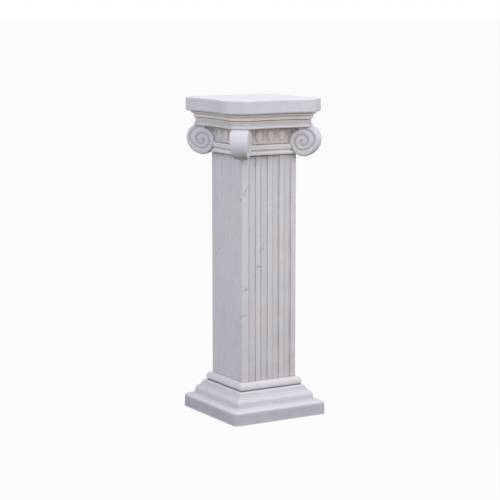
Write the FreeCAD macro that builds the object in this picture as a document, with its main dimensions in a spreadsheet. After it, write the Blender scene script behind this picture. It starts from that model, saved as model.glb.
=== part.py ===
import FreeCAD, Part
import math
import os
import Sketcher
from FreeCAD import Placement, Rotation, Vector

# Fluted square pedestal with an angular Ionic capital, cast in sections over a steel tie rod.
# Frame: millimetres, +Z up, origin on the floor under the centre of the plinth, front towards -Y.

os.makedirs("parts", exist_ok=True)
doc = FreeCAD.newDocument("pedestal")

# ---------------------------------------------------------------------------------------------
# Driving dimensions
# ---------------------------------------------------------------------------------------------

DRIVING = (
    ("shaft_width", 157.0, "Width of the square shaft across its flat fillets"),
    ("shaft_length", 565.5, "Length of the shaft casting"),
    ("shaft_corner_round", 4.0, "Radius worn onto the shaft's vertical corners"),
    ("flute_width", 21.0, "Width of one flute"),
    ("flute_margin", 17.0, "Flat strip between a shaft corner and the flute beside it"),
    ("flute_wall", 2.4, "Depth of a flute at its side walls"),
    ("flute_hollow", 1.6, "Extra depth of a flute at its middle"),
    ("core_bore", 70.0, "Bore cast through shaft, torus and neck collar"),
    ("foot_proud", 1.0, "Height of the feet below the plinth"),
    ("foot_recess", 3.0, "Depth of the recesses that hold the feet"),
    ("foot_diameter", 32.0, "Diameter of a foot"),
    ("foot_inset", 32.0, "Distance of a foot's centre from the plinth's edges"),
    ("bed_thick", 1.0, "Thickness of every setting bed"),
    ("bed_inset", 3.0, "Distance from the narrower casting's face to the bed's edge"),
    ("plinth_draft", 1.3, "Inward lean of the plinth's faces"),
    ("plinth_face", 29.5, "Height of the plinth's faces up to the rounded edge"),
    ("plinth_round", 5.0, "Radius of the plinth's upper edge"),
    ("plinth_slope_rise", 2.2, "Rise of the sloping top of the plinth"),
    ("plinth_slope_run", 7.2, "Run of the sloping top of the plinth"),
    ("base_cove", 7.5, "Run of the small cove under the fillet"),
    ("base_cove_rise", 3.3, "Rise of that cove"),
    ("base_cove_radius", 6.4, "Radius of that cove"),
    ("base_fillet", 11.5, "Height of the flat fillet over the cove"),
    ("fillet_draft", 0.5, "Inward lean of that fillet"),
    ("fillet_round", 2.0, "Radius of that fillet's upper edge"),
    ("cavetto_reach", 13.5, "Projection of the hollow moulding"),
    ("cavetto_rise", 17.5, "Height of the hollow moulding"),
    ("cavetto_radius", 42.0, "Radius of the hollow moulding"),
    ("base_top_round", 2.5, "Radius of the base casting's upper edge"),
    ("base_step", 2.5, "Projection of the base casting beyond the torus"),
    ("base_pocket_gap", 3.0, "Gap round the lower tie plate in its pocket"),
    ("base_web", 44.5, "Thickness of the base casting over that pocket"),
    ("torus_projection", 11.5, "Projection of the base torus beyond the shaft"),
    ("torus_height", 18.5, "Height of the base torus"),
    ("torus_lip", 2.0, "Height of the rounded lower lip of the base torus"),
    ("torus_radius", 19.5, "Radius of the base torus"),
    ("torus_ledge", 1.0, "Ledge left on top of the base torus beside the shaft"),
    ("collar_height", 26.5, "Height of the neck collar"),
    ("collar_torus", 11.5, "Height of the neck collar's torus"),
    ("collar_torus_radius", 7.0, "Radius of the neck collar's torus"),
    ("collar_projection", 6.5, "Projection of the neck collar beyond the shaft"),
    ("collar_groove", 2.5, "Depth and width of the groove over the neck torus"),
    ("collar_band_set", 1.0, "Set-back of the upper band of the collar"),
    ("collar_band_round", 3.0, "Radius of that band's upper edge"),
    ("bell_set", 2.5, "Set-back of the frieze block behind the shaft's face"),
    ("frieze_height", 40.5, "Height of the frieze block"),
    ("ribbon_height", 19.0, "Height of the ribbon band over the frieze"),
    ("ribbon_overhang", 44.8, "Overhang of the ribbon's lip beyond the frieze block"),
    ("ribbon_lip", 5.5, "Height of the lip along the ribbon's lower edge"),
    ("ribbon_set", 5.0, "Set-back of the ribbon's face behind that lip"),
    ("ribbon_cut", 32.4, "Length taken off each end of a ribbon side by the cut corner"),
    ("ribbon_round", 3.0, "Radius of the ribbon's lower edge"),
    ("side_bow", 10.0, "Hollow of each side of ribbon, cornice and slab, in plan"),
    ("cornice_overhang", 5.4, "Projection of the cornice bead beyond the ribbon's face"),
    ("cornice_bead", 8.5, "Height of the cornice bead"),
    ("cornice_bead_round", 3.0, "Radius of the bead's edges"),
    ("cornice_band", 7.0, "Height of the band over the bead"),
    ("cornice_band_out", 4.3, "Projection of that band beyond the bead"),
    ("cornice_bore", 64.0, "Bore of the cornice, over the upper nut"),
    ("slab_overhang", 14.3, "Projection of the top slab beyond the cornice band"),
    ("slab_thick", 34.0, "Thickness of the top slab"),
    ("slab_cut", 45.9, "Length taken off each end of a slab side by the cut corner"),
    ("slab_edge_round", 4.0, "Radius of the slab's upper and lower edges"),
    ("panel_thick", 2.0, "Thickness of a frieze strip behind its relief"),
    ("panel_end", 22.0, "Length of block face left bare past each end of a frieze strip"),
    ("panel_gap", 1.5, "Gap above and below a frieze strip"),
    ("egg_margin", 8.5, "Length of frieze strip left bare past the outer eggs"),
    ("egg_width", 24.0, "Width of an egg"),
    ("egg_height", 31.0, "Height of an egg"),
    ("egg_relief", 4.5, "Relief of an egg"),
    ("dart_width", 3.0, "Width of a dart"),
    ("dart_relief", 2.5, "Relief of a dart"),
    ("volute_thick", 40.0, "Thickness of a volute across its scroll"),
    ("volute_seat", 8.5, "Depth by which a volute straddles the frieze block's corner"),
    ("volute_eye_rise", 30.5, "Height of the volute's eye over the collar's underside"),
    ("volute_inner", 30.0, "Radius of the coil's inner quarter"),
    ("volute_lower", 33.5, "Radius of the coil's lower quarter"),
    ("volute_outer", 39.0, "Radius of the coil's outer quarter"),
    ("volute_shoulder_out", 34.5, "Distance of the coil's shoulder beyond its lowest point"),
    ("volute_shoulder_rise", 57.0, "Height of that shoulder over the lowest point"),
    ("volute_neck", 19.0, "Distance from the volute's inner edge to its neck under the ribbon"),
    ("volute_neck_width", 30.0, "Width of the volute's neck under the ribbon"),
    ("volute_round", 3.0, "Radius of the coil's long edges"),
    ("scroll_groove", 4.0, "Width of the scroll's spiral groove"),
    ("scroll_depth", 3.0, "Depth of the spiral groove"),
    ("scroll_start", 28.0, "Radius of the spiral groove's first quarter"),
    ("scroll_step", 6.0, "Radius lost by the spiral groove in each half turn"),
    ("rod_diameter", 12.0, "Diameter of the tie rod"),
    ("rod_clearance", 4.0, "Diameter of the rod's holes in stone, over its own"),
    ("rod_chamfer", 1.0, "Chamfer of the rod's ends"),
    ("rod_tail", 3.5, "Rod showing beyond each nut"),
    ("plate_width", 52.0, "Width of a tie plate"),
    ("plate_thick", 6.0, "Thickness of a tie plate"),
    ("plate_clearance", 1.0, "Width of a plate's hole over the rod, and gap round the upper plate"),
    ("upper_pocket", 12.5, "Depth of the pocket for the upper tie plate"),
    ("washer_diameter", 30.0, "Diameter of a washer"),
    ("washer_thick", 2.5, "Thickness of a washer"),
    ("nut_height", 10.0, "Height of a nut"),
    ("nut_flats", 18.0, "Width of a nut across its flats"),
    ("thread_gap", 0.1, "Gap between rod and nut or washer, on the radius"),
    ("dowel_diameter", 10.0, "Diameter of a registration dowel"),
    ("dowel_length", 60.0, "Length of a registration dowel"),
    ("dowel_clearance", 0.3, "Gap round a dowel or pin in its hole"),
    ("dowel_inset", 26.5, "Distance of the shaft dowels inside the shaft's faces"),
    ("cap_dowel_inset", 16.0, "Distance of the slab dowels inside the frieze block's faces"),
    ("pin_diameter", 8.0, "Diameter of a volute pin"),
    ("pin_length", 40.0, "Length of a volute pin"),
    ("pin_grip", 20.0, "Length of a volute pin that lies inside the frieze block"),
    ("pin_rise", 13.0, "Height of the volute pins over the frieze block's underside"),
)

sheet = doc.addObject("Spreadsheet::Sheet", "Sizes")
for row, (alias, number, meaning) in enumerate(DRIVING, start=1):
    sheet.set("A%d" % row, alias)
    sheet.set("B%d" % row, "%s" % number)
    sheet.set("C%d" % row, meaning)
    sheet.setAlias("B%d" % row, alias)
doc.recompute()


class Size:
    """A dimension: its number now, and the sheet expression that gives it."""

    def __init__(self, number, text):
        self.number = float(number)
        self.text = text

    def _with(self, sign, other, number):
        text = other.text if isinstance(other, Size) else "%s" % other
        return Size(number, "(%s %s %s)" % (self.text, sign, text))

    def __add__(self, other):
        return self._with("+", other, self.number + float(other))

    def __sub__(self, other):
        return self._with("-", other, self.number - float(other))

    def __mul__(self, other):
        return self._with("*", other, self.number * float(other))

    def __truediv__(self, other):
        return self._with("/", other, self.number / float(other))

    def __neg__(self):
        return Size(-self.number, "(0 - %s)" % self.text)

    def root(self):
        """The square root."""
        return Size(math.sqrt(self.number), "sqrt(%s)" % self.text)

    def __float__(self):
        return self.number


def given(alias):
    """The driving dimension of that name."""
    return Size(sheet.get(alias), "Sizes.%s" % alias)


ZERO = Size(0.0, "0")
ROOT_TWO = math.sqrt(2.0)
CUT_PER_INSET = 2.0 - ROOT_TWO  # how far a cut corner's legs shorten as its outline moves inward

# ---------------------------------------------------------------------------------------------
# Levels, from the floor up, and half widths, worked out from the driving dimensions
# ---------------------------------------------------------------------------------------------

bed = given("bed_thick")

base_bottom = given("foot_proud")
plinth_edge = base_bottom + given("plinth_face")
plinth_top = plinth_edge + given("plinth_round")
slope_top = plinth_top + given("plinth_slope_rise")
cove_top = slope_top + given("base_cove_rise")
fillet_top = cove_top + given("base_fillet")
cavetto_bottom = fillet_top + given("fillet_round")
cavetto_top = cavetto_bottom + given("cavetto_rise")
base_top = cavetto_top + given("base_top_round")
torus_bottom = base_top + bed
torus_top = torus_bottom + given("torus_height")
shaft_bottom = torus_top + bed
shaft_top = shaft_bottom + given("shaft_length")
collar_bottom = shaft_top + bed
collar_top = collar_bottom + given("collar_height")
bell_bottom = collar_top + bed
ribbon_bottom = bell_bottom + given("frieze_height")
bell_top = ribbon_bottom + given("ribbon_height")
cornice_bottom = bell_top + bed
cornice_split = cornice_bottom + given("cornice_bead")
cornice_top = cornice_split + given("cornice_band")
slab_bottom = cornice_top + bed
slab_top = slab_bottom + given("slab_thick")

shaft_half = given("shaft_width") / 2
torus_half = shaft_half + given("torus_projection")
base_top_half = torus_half + given("base_step")
cavetto_half = base_top_half + given("base_top_round")
fillet_half = cavetto_half + given("cavetto_reach") + given("fillet_round")
cove_half = fillet_half + given("fillet_draft")
slope_half = cove_half + given("base_cove")
plinth_shoulder = slope_half + given("plinth_slope_run")
plinth_edge_half = plinth_shoulder + given("plinth_round")
plinth_half = plinth_edge_half + given("plinth_draft")
collar_half = shaft_half + given("collar_projection")
bell_half = shaft_half - given("bell_set")
ribbon_half = bell_half + given("ribbon_overhang")
ribbon_face_half = ribbon_half - given("ribbon_set")
cornice_half = ribbon_face_half + given("cornice_overhang")
cornice_band_half = cornice_half + given("cornice_band_out")
slab_half = cornice_band_half + given("slab_overhang")

eye_level = collar_bottom + given("volute_eye_rise")
pin_level = bell_bottom + given("pin_rise")
flute_pitch = (given("shaft_width") - given("flute_margin") * 2 - given("flute_width")) / 3
panel_half = bell_half - given("panel_end")
egg_pitch = panel_half - given("egg_margin") - given("egg_width") / 2
shaft_dowels = shaft_half - given("dowel_inset")
slab_dowels = bell_half - given("cap_dowel_inset")

rod_hole = given("rod_diameter") + given("rod_clearance")
dowel_hole = given("dowel_diameter") + given("dowel_clearance") * 2

# ---------------------------------------------------------------------------------------------
# Outlines and features
# ---------------------------------------------------------------------------------------------


class Corner:
    """A corner of an outline; radius and side say how the edge runs on to the next corner.

    An arc is held by its radius, or by its centre's height where that is given.
    """

    def __init__(self, across, along, radius=None, side=1, centre_along=None):
        self.across = across
        self.along = along
        self.radius = radius
        self.side = side
        self.centre_along = centre_along


def arc_between(first, last, radius, side):
    """Arc from first to last; side 1 puts its centre on the left of the chord, -1 on the right."""
    chord = last - first
    middle = (first + last) / 2
    rise = math.sqrt(max(radius * radius - chord.Length * chord.Length / 4, 0.0))
    leftward = Vector(-chord.y, chord.x, 0).normalize()
    centre = middle + leftward * rise * side
    start, end = (first, last) if side > 0 else (last, first)
    start_angle = math.atan2(start.y - centre.y, start.x - centre.x)
    end_angle = math.atan2(end.y - centre.y, end.x - centre.x)
    if end_angle <= start_angle:
        end_angle += 2 * math.pi
    circle = Part.Circle(centre, Vector(0, 0, 1), radius)
    return Part.ArcOfCircle(circle, start_angle, end_angle)


def pin_corner(sketch, edge, end, corner):
    """Holds one end of an edge at its corner, by the sheet."""
    for axis, size, line in (("DistanceX", corner.across, -2), ("DistanceY", corner.along, -1)):
        if size is ZERO:
            sketch.addConstraint(Sketcher.Constraint("PointOnObject", edge, end, line))
            continue
        index = sketch.addConstraint(Sketcher.Constraint(axis, -1, 1, edge, end, size.number))
        sketch.setExpression("Constraints[%d]" % index, size.text)


def draw_outline(sketch, corners):
    """Draws a closed outline through its corners and ties every size in it to the sheet."""
    places = [Vector(float(c.across), float(c.along), 0) for c in corners]
    edges = []
    for index, corner in enumerate(corners):
        first, last = places[index], places[(index + 1) % len(places)]
        if corner.radius is None:
            edge = sketch.addGeometry(Part.LineSegment(first, last))
            edges.append((edge, 1, 2))
            continue
        arc = arc_between(first, last, float(corner.radius), corner.side)
        edge = sketch.addGeometry(arc)
        edges.append((edge, 1, 2) if corner.side > 0 else (edge, 2, 1))
    for index, corner in enumerate(corners):
        edge, start, end = edges[index]
        following, next_start, next_end = edges[(index + 1) % len(edges)]
        sketch.addConstraint(Sketcher.Constraint("Coincident", edge, end, following, next_start))
        pin_corner(sketch, edge, start, corner)
        if corner.radius is None:
            continue
        held = corner.centre_along or corner.radius
        hold = Sketcher.Constraint("Radius", edge, held.number)
        if corner.centre_along is not None:
            hold = Sketcher.Constraint("DistanceY", -1, 1, edge, 3, held.number)
        sketch.setExpression("Constraints[%d]" % sketch.addConstraint(hold), held.text)


def draw_circle(sketch, across, along, diameter):
    """Draws a circle tied to the sheet."""
    centre = Vector(float(across), float(along), 0)
    circle = Part.Circle(centre, Vector(0, 0, 1), float(diameter) / 2)
    edge = sketch.addGeometry(circle)
    pin_corner(sketch, edge, 3, Corner(across, along))
    index = sketch.addConstraint(Sketcher.Constraint("Diameter", edge, diameter.number))
    sketch.setExpression("Constraints[%d]" % index, diameter.text)


def rectangle(left, right, low, high):
    """The four corners of an upright rectangle."""
    return [Corner(left, low), Corner(right, low), Corner(right, high), Corner(left, high)]


def square(half):
    """The four corners of a square round the centre."""
    return rectangle(-half, half, -half, half)


def mirrored(right_side):
    """Closes a right-hand profile, listed from the bottom up, with its mirror image."""
    left_side = []
    for index in range(len(right_side) - 1, -1, -1):
        corner = right_side[index]
        edge_below = right_side[index - 1] if index else Corner(ZERO, ZERO)
        left = Corner(-corner.across, corner.along, edge_below.radius, edge_below.side)
        left_side.append(left)
    return right_side + left_side


def hollow_sided(half, cut):
    """Plan of a slab with hollow sides and cut corners; the sides bow in by side_bow."""
    end = half - cut
    bow = given("side_bow")
    radius = (end * end + bow * bow) / (bow * 2)
    corners = []
    for across, along in ((-end, -half), (half, -end), (end, half), (-half, end)):
        corners.append(Corner(across, along, radius, -1))
        lies_across = abs(float(across)) < abs(float(along))
        corners.append(Corner(-across, along) if lies_across else Corner(across, -along))
    return corners


class Piece:
    """One PartDesign body and the few features that the castings need."""

    def __init__(self, name):
        self.name = name
        self.body = doc.addObject("PartDesign::Body", name)
        self.body.Label = name
        self.count = 0

    def origin(self, role):
        """An axis or plane of the body's own origin."""
        return [item for item in self.body.Origin.OriginFeatures if item.Role == role][0]

    def sketch(self, plane, level=ZERO):
        """A new sketch on an origin plane, lifted along that plane's normal."""
        self.count += 1
        sketch = self.body.newObject("Sketcher::SketchObject", "%s_sketch_%d" % (self.name, self.count))
        sketch.AttachmentSupport = [(self.origin(plane), "")]
        sketch.MapMode = "FlatFace"
        sketch.AttachmentOffset = Placement(Vector(0, 0, float(level)), Rotation())
        sketch.setExpression("AttachmentOffset.Base.z", level.text)
        return sketch

    def feature(self, kind, sketch, length, both_ways, reverse):
        """A pad or pocket of a sketch; a length of None goes through everything."""
        made = self.body.newObject(kind, "%s_feature_%d" % (self.name, self.count))
        made.Profile = sketch
        made.Reversed = reverse
        if both_ways:
            made.SideType = "Symmetric"
        if length is None:
            made.Type = "ThroughAll"
        else:
            made.Type = "Length"
            made.Length = float(length)
            made.setExpression("Length", length.text)
        return made

    def pad(self, sketch, length, both_ways=False, reverse=False):
        """Adds material."""
        made = self.feature("PartDesign::Pad", sketch, length, both_ways, reverse)
        doc.recompute()
        return made

    def pocket(self, sketch, length, both_ways=False, reverse=False):
        """Takes material away, and stops if nothing was taken."""
        before = self.body.Shape.Volume
        made = self.feature("PartDesign::Pocket", sketch, length, both_ways, reverse)
        doc.recompute()
        if self.body.Shape.isNull() or self.body.Shape.Volume > before - 1e-3:
            raise RuntimeError("%s: a pocket took nothing" % self.name)
        return made

    def round_edges(self, radius, chosen):
        """Rounds the edges of the latest feature that chosen accepts."""
        base = self.body.Tip
        names = []
        for index, edge in enumerate(base.Shape.Edges, start=1):
            if chosen(edge):
                names.append("Edge%d" % index)
        if not names:
            raise RuntimeError("%s: no edge to round" % self.name)
        made = self.body.newObject("PartDesign::Fillet", "%s_round_%d" % (self.name, len(names)))
        made.Base = (base, names)
        made.Radius = float(radius)
        made.setExpression("Radius", radius.text)
        doc.recompute()
        return made

    def bore(self, diameter):
        """A round hole along the vertical axis, right through."""
        sketch = self.sketch("XY_Plane")
        draw_circle(sketch, ZERO, ZERO, diameter)
        self.pocket(sketch, None, both_ways=True)

    def dowel_holes(self, place, level, depth, upward):
        """Four holes for dowels, from a level up or down."""
        sketch = self.sketch("XY_Plane", level)
        for across in (place, -place):
            for along in (place, -place):
                draw_circle(sketch, across, along, dowel_hole)
        self.pocket(sketch, depth, reverse=upward)


def moulding(name, right_side):
    """A four-sided moulding: one profile run along both ways, so that its corners are mitred."""
    piece = Piece(name)
    profile = mirrored(right_side)
    widest = max((corner.across for corner in right_side), key=float)
    along = piece.sketch("XZ_Plane")
    draw_outline(along, profile)
    piece.pad(along, widest * 2, both_ways=True)
    across = piece.sketch("YZ_Plane")
    margin = widest + bed
    low, high = right_side[0].along - bed, right_side[-1].along + bed
    draw_outline(across, rectangle(-margin, margin, low, high))
    draw_outline(across, profile)
    piece.pocket(across, None, both_ways=True)
    return piece


def is_vertical_corner(edge):
    """True for a straight edge that runs up the piece at one of its four corners."""
    if edge.Curve.TypeId != "Part::GeomLine":
        return False
    first, last = edge.Vertexes[0].Point, edge.Vertexes[-1].Point
    return abs(first.z - last.z) > 5 and abs(abs(first.x) - abs(first.y)) < 0.1


def at_level(level):
    """Accepts the edges that lie flat at a level."""
    def accepts(edge):
        return all(abs(vertex.Point.z - float(level)) < 0.01 for vertex in edge.Vertexes)
    return accepts


# ---------------------------------------------------------------------------------------------
# Castings: base, torus, shaft, neck collar
# ---------------------------------------------------------------------------------------------


def make_base():
    """Plinth, cove, fillet and cavetto in one casting, open underneath for the tie plate."""
    slope_end = Corner(slope_half, slope_top, given("base_cove_radius"), -1)
    piece = moulding("base_plinth", [
        Corner(plinth_half, base_bottom),
        Corner(plinth_edge_half, plinth_edge, given("plinth_round"), 1),
        Corner(plinth_shoulder, plinth_top),
        slope_end,
        Corner(cove_half, cove_top),
        Corner(fillet_half, fillet_top, given("fillet_round"), 1),
        Corner(fillet_half - given("fillet_round"), cavetto_bottom, given("cavetto_radius"), -1),
        Corner(cavetto_half, cavetto_top, given("base_top_round"), 1),
        Corner(base_top_half, base_top),
    ])
    pocket = piece.sketch("XY_Plane", base_bottom)
    draw_outline(pocket, square(given("plate_width") / 2 + given("base_pocket_gap")))
    piece.pocket(pocket, base_top - base_bottom - given("base_web"), reverse=True)
    piece.bore(rod_hole)
    feet = piece.sketch("XY_Plane", base_bottom)
    place = plinth_half - given("foot_inset")
    for across in (place, -place):
        for along in (place, -place):
            draw_circle(feet, across, along, given("foot_diameter") + given("dowel_clearance") * 2)
    piece.pocket(feet, given("foot_recess"), reverse=True)
    grip = (given("dowel_length") - given("torus_height") - bed * 2) / 2 + given("dowel_clearance")
    piece.dowel_holes(shaft_dowels, base_top, grip, upward=False)
    return piece


def make_torus():
    """The rounded moulding between base and shaft."""
    piece = moulding("base_torus", [
        Corner(torus_half - given("torus_lip"), torus_bottom, given("torus_lip"), 1),
        Corner(torus_half, torus_bottom + given("torus_lip"), given("torus_radius"), 1),
        Corner(shaft_half + given("torus_ledge"), torus_top),
    ])
    piece.bore(given("core_bore"))
    piece.dowel_holes(shaft_dowels, torus_top, given("torus_height"), upward=False)
    return piece


def make_shaft():
    """The square shaft: four flutes a side, cast round a bore."""
    piece = Piece("shaft")
    plan = piece.sketch("XY_Plane", shaft_bottom)
    draw_outline(plan, square(shaft_half))
    piece.pad(plan, given("shaft_length"))
    piece.round_edges(given("shaft_corner_round"), is_vertical_corner)
    flutes = piece.sketch("XY_Plane", shaft_bottom)
    half, hollow = given("flute_width") / 2, given("flute_hollow")
    curve = (half * half + hollow * hollow) / (hollow * 2)
    floor = given("flute_wall") - shaft_half
    outside = -shaft_half - bed
    for step in (-1.5, -0.5, 0.5, 1.5):
        middle = flute_pitch * step
        draw_outline(flutes, [
            Corner(middle - half, outside),
            Corner(middle + half, outside),
            Corner(middle + half, floor, curve, 1),
            Corner(middle - half, floor),
        ])
    cut = piece.pocket(flutes, None, reverse=True)
    around = piece.body.newObject("PartDesign::PolarPattern", "shaft_flutes_around")
    around.Originals = [cut]
    around.Axis = (piece.origin("Z_Axis"), [""])
    around.Angle = 360
    around.Occurrences = 4
    piece.body.Tip = around
    doc.recompute()
    piece.bore(given("core_bore"))
    foot_grip = (given("dowel_length") - given("torus_height") - bed * 2) / 2 + given("dowel_clearance")
    head_grip = (given("dowel_length") - given("collar_height") - bed * 2) / 2 + given("dowel_clearance")
    piece.dowel_holes(shaft_dowels, shaft_bottom, foot_grip, upward=True)
    piece.dowel_holes(shaft_dowels, shaft_top, head_grip, upward=False)
    return piece


def make_collar():
    """Torus, groove and band between shaft and frieze."""
    torus, groove = given("collar_torus"), given("collar_groove")
    band_half = collar_half - given("collar_band_set")
    groove_half = collar_half - groove - given("collar_band_set")
    band_round = given("collar_band_round")
    groove_bottom = collar_bottom + torus
    groove_top = groove_bottom + groove
    piece = moulding("neck_collar", [
        Corner(groove_half, collar_bottom, given("collar_torus_radius"), 1),
        Corner(groove_half, groove_bottom),
        Corner(groove_half, groove_top),
        Corner(band_half, groove_top + groove / 2),
        Corner(band_half, collar_top - band_round, band_round, 1),
        Corner(band_half - band_round, collar_top),
    ])
    piece.bore(given("core_bore"))
    piece.dowel_holes(shaft_dowels, collar_top, given("collar_height"), upward=False)
    return piece


# ---------------------------------------------------------------------------------------------
# Castings: capital and top slab
# ---------------------------------------------------------------------------------------------


def make_bell():
    """The frieze block and the ribbon band over it, with the pocket for the upper tie plate."""
    piece = Piece("capital_bell")
    block = piece.sketch("XY_Plane", bell_bottom)
    draw_outline(block, square(bell_half))
    piece.pad(block, given("frieze_height"))
    ribbon = piece.sketch("XY_Plane", ribbon_bottom)
    draw_outline(ribbon, hollow_sided(ribbon_half, given("ribbon_cut")))
    piece.pad(ribbon, given("ribbon_lip"))
    under_ribbon = at_level(ribbon_bottom)
    reach = float(bell_half) * 1.1

    def on_ribbon_rim(edge):
        """True for the lower edges of the ribbon's outline."""
        middle = edge.CenterOfMass
        return under_ribbon(edge) and max(abs(middle.x), abs(middle.y)) > reach

    piece.round_edges(given("ribbon_round"), on_ribbon_rim)
    face = piece.sketch("XY_Plane", ribbon_bottom + given("ribbon_lip"))
    face_cut = given("ribbon_cut") - given("ribbon_set") * CUT_PER_INSET
    draw_outline(face, hollow_sided(ribbon_face_half, face_cut))
    piece.pad(face, given("ribbon_height") - given("ribbon_lip"))
    pocket = piece.sketch("XY_Plane", bell_top)
    draw_outline(pocket, square(given("plate_width") / 2 + given("plate_clearance")))
    piece.pocket(pocket, given("upper_pocket"))
    piece.bore(rod_hole)
    neck_grip = (given("dowel_length") - given("collar_height") - bed * 2) / 2 + given("dowel_clearance")
    cornice_height = cornice_top - cornice_bottom
    slab_grip = (given("dowel_length") - cornice_height - bed * 2) / 2 + given("dowel_clearance")
    piece.dowel_holes(shaft_dowels, bell_bottom, neck_grip, upward=True)
    piece.dowel_holes(slab_dowels, bell_top, slab_grip, upward=False)
    cut_pin_holes(piece)
    return piece


def cut_pin_holes(piece):
    """Four holes along the diagonals, from the block's corners inward."""
    start = bell_half * ROOT_TWO - given("pin_grip") - given("dowel_clearance")
    length = given("pin_length")
    hole = given("pin_diameter") / 2 + given("dowel_clearance")
    for turn in (1, -1):
        sketch = piece.sketch("XY_Plane", pin_level - hole)
        far, near = start + length, start
        side = hole
        for sign in (1, -1):
            draw_outline(sketch, diagonal_slot(near, far, side, sign, turn))
        piece.pocket(sketch, hole * 2, reverse=True)


def diagonal_slot(near, far, side, sign, turn):
    """Plan of a straight slot along one diagonal, from near to far, side to each side."""
    corners = []
    for reach, offset in ((near, -side), (far, -side), (far, side), (near, side)):
        across = (reach * sign - offset) / ROOT_TWO
        along = (reach * sign + offset) * turn / ROOT_TWO
        corners.append(Corner(across, along))
    return corners


def make_panel(name, quarter_turns):
    """One frieze strip of egg-and-dart relief, glued to a side of the frieze block."""
    piece = Piece(name)
    low, high = bell_bottom + given("panel_gap"), ribbon_bottom - given("panel_gap")
    half = panel_half
    back = bell_half
    front = back + given("panel_thick")
    strip = piece.sketch("XZ_Plane", back)
    draw_outline(strip, rectangle(-half, half, low, high))
    piece.pad(strip, given("panel_thick"))
    middle = (low + high) / 2
    for step in (-1, 0, 1):
        egg = piece.body.newObject("PartDesign::AdditiveEllipsoid", "%s_egg_%d" % (name, step + 1))
        across = egg_pitch * step
        for prop, size in (("Radius1", given("egg_height") / 2), ("Radius2", given("egg_width") / 2),
                           ("Radius3", given("egg_relief")), ("Placement.Base.x", across),
                           ("Placement.Base.y", -front), ("Placement.Base.z", middle)):
            egg.setExpression(prop, size.text)
        doc.recompute()
    darts = piece.sketch("XZ_Plane", front)
    for step in (-1.5, -0.5, 0.5, 1.5):
        across = egg_pitch * step
        width = given("dart_width") / 2
        draw_outline(darts, [
            Corner(across - width, high - given("panel_gap")),
            Corner(across, low + given("panel_gap")),
            Corner(across + width, high - given("panel_gap")),
        ])
    piece.pad(darts, given("dart_relief"))
    behind = piece.sketch("XZ_Plane", back)
    draw_outline(behind, rectangle(-half - 1, half + 1, low - 1, high + 1))
    piece.pocket(behind, given("egg_relief"))
    piece.body.Placement = Placement(Vector(0, 0, 0), Rotation(Vector(0, 0, 1), 90 * quarter_turns))
    return piece


def make_volute(name, degrees):
    """One scroll, notched to straddle the corner of frieze block and collar."""
    piece = Piece(name)
    eye = eye_level
    inner, lower, outer = given("volute_inner"), given("volute_lower"), given("volute_outer")
    inner_edge = bell_half * ROOT_TWO - given("volute_seat")
    bottom_middle = inner_edge + lower
    bottom = eye - lower
    neck = inner_edge + given("volute_neck")
    neck_back = inner - given("volute_neck")
    neck_drop = (inner * inner - neck_back * neck_back).root()
    neck_end = neck + given("volute_neck_width")
    shoulder_across = bottom_middle + given("volute_shoulder_out")
    shoulder = Corner(shoulder_across, bottom + given("volute_shoulder_rise"))
    side = piece.sketch("XZ_Plane")
    draw_outline(side, [
        Corner(neck, ribbon_bottom),
        Corner(neck, eye + neck_drop, inner, 1),
        Corner(inner_edge, eye, lower, 1),
        Corner(bottom_middle, bottom, outer, 1),
        shoulder,
        Corner(neck_end, ribbon_bottom),
    ])
    piece.pad(side, given("volute_thick"), both_ways=True)
    limit = float(given("volute_thick")) / 2 - 0.01

    def on_coil(edge):
        """True for the coil's long edges, round both side faces."""
        beside = all(abs(vertex.Point.y) > limit for vertex in edge.Vertexes)
        return beside and edge.Curve.TypeId == "Part::GeomCircle"

    piece.round_edges(given("volute_round"), on_coil)
    levels = ((bell_half, collar_top, ribbon_bottom + bed), (collar_half, bottom - bed, collar_top + bed))
    for reach, low, high in levels:
        notch = piece.sketch("XY_Plane", low)
        tip = reach * ROOT_TWO
        depth = given("volute_thick")
        draw_outline(notch, [Corner(tip, ZERO), Corner(tip - depth, depth), Corner(tip - depth, -depth)])
        piece.pocket(notch, high - low, reverse=True)
    groove = piece.sketch("XZ_Plane", given("volute_thick") / 2)
    draw_outline(groove, scroll_groove(inner_edge + inner, eye, neck))
    cut = piece.pocket(groove, given("scroll_depth"))
    both = piece.body.newObject("PartDesign::Mirrored", "%s_other_side" % name)
    both.Originals = [cut]
    both.MirrorPlane = (piece.origin("XZ_Plane"), [""])
    piece.body.Tip = both
    doc.recompute()
    hole = piece.sketch("YZ_Plane", bell_half * ROOT_TWO - given("pin_grip"))
    draw_circle(hole, ZERO, pin_level, given("pin_diameter") + given("dowel_clearance") * 2)
    piece.pocket(hole, given("pin_length") + given("dowel_clearance"), reverse=True)
    piece.body.Placement = Placement(Vector(0, 0, 0), Rotation(Vector(0, 0, 1), degrees))
    return piece


def scroll_groove(middle, eye, start):
    """Outline of the spiral groove: from the neck over the top, then in by half turns."""
    radius, step = given("scroll_start"), given("scroll_step")
    width = given("scroll_groove") / 2
    turns = [(middle, radius)]
    centre, reach = middle, radius
    for half_turn in range(3):
        way = 1 if half_turn % 2 == 0 else -1
        centre = centre + step * way
        reach = reach - step
        turns.append((centre, reach))
    outer_side = [
        Corner(start, eye + radius + width),
        Corner(middle, eye + radius + width, radius + width, -1, centre_along=eye),
    ]
    inner_side = [Corner(start, eye + radius - width), Corner(middle, eye + radius - width)]
    way = 1
    for index, (centre, reach) in enumerate(turns):
        end_outer = centre + (reach + width) * way
        end_inner = centre + (reach - width) * way
        following = turns[index + 1][1] if index + 1 < len(turns) else None
        outer_radius = following + width if following is not None else None
        outer_side.append(Corner(end_outer, eye, outer_radius, -1, centre_along=eye))
        inner_side.append(Corner(end_inner, eye, reach - width, 1, centre_along=eye))
        way = -way
    return outer_side + inner_side[::-1]


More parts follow.
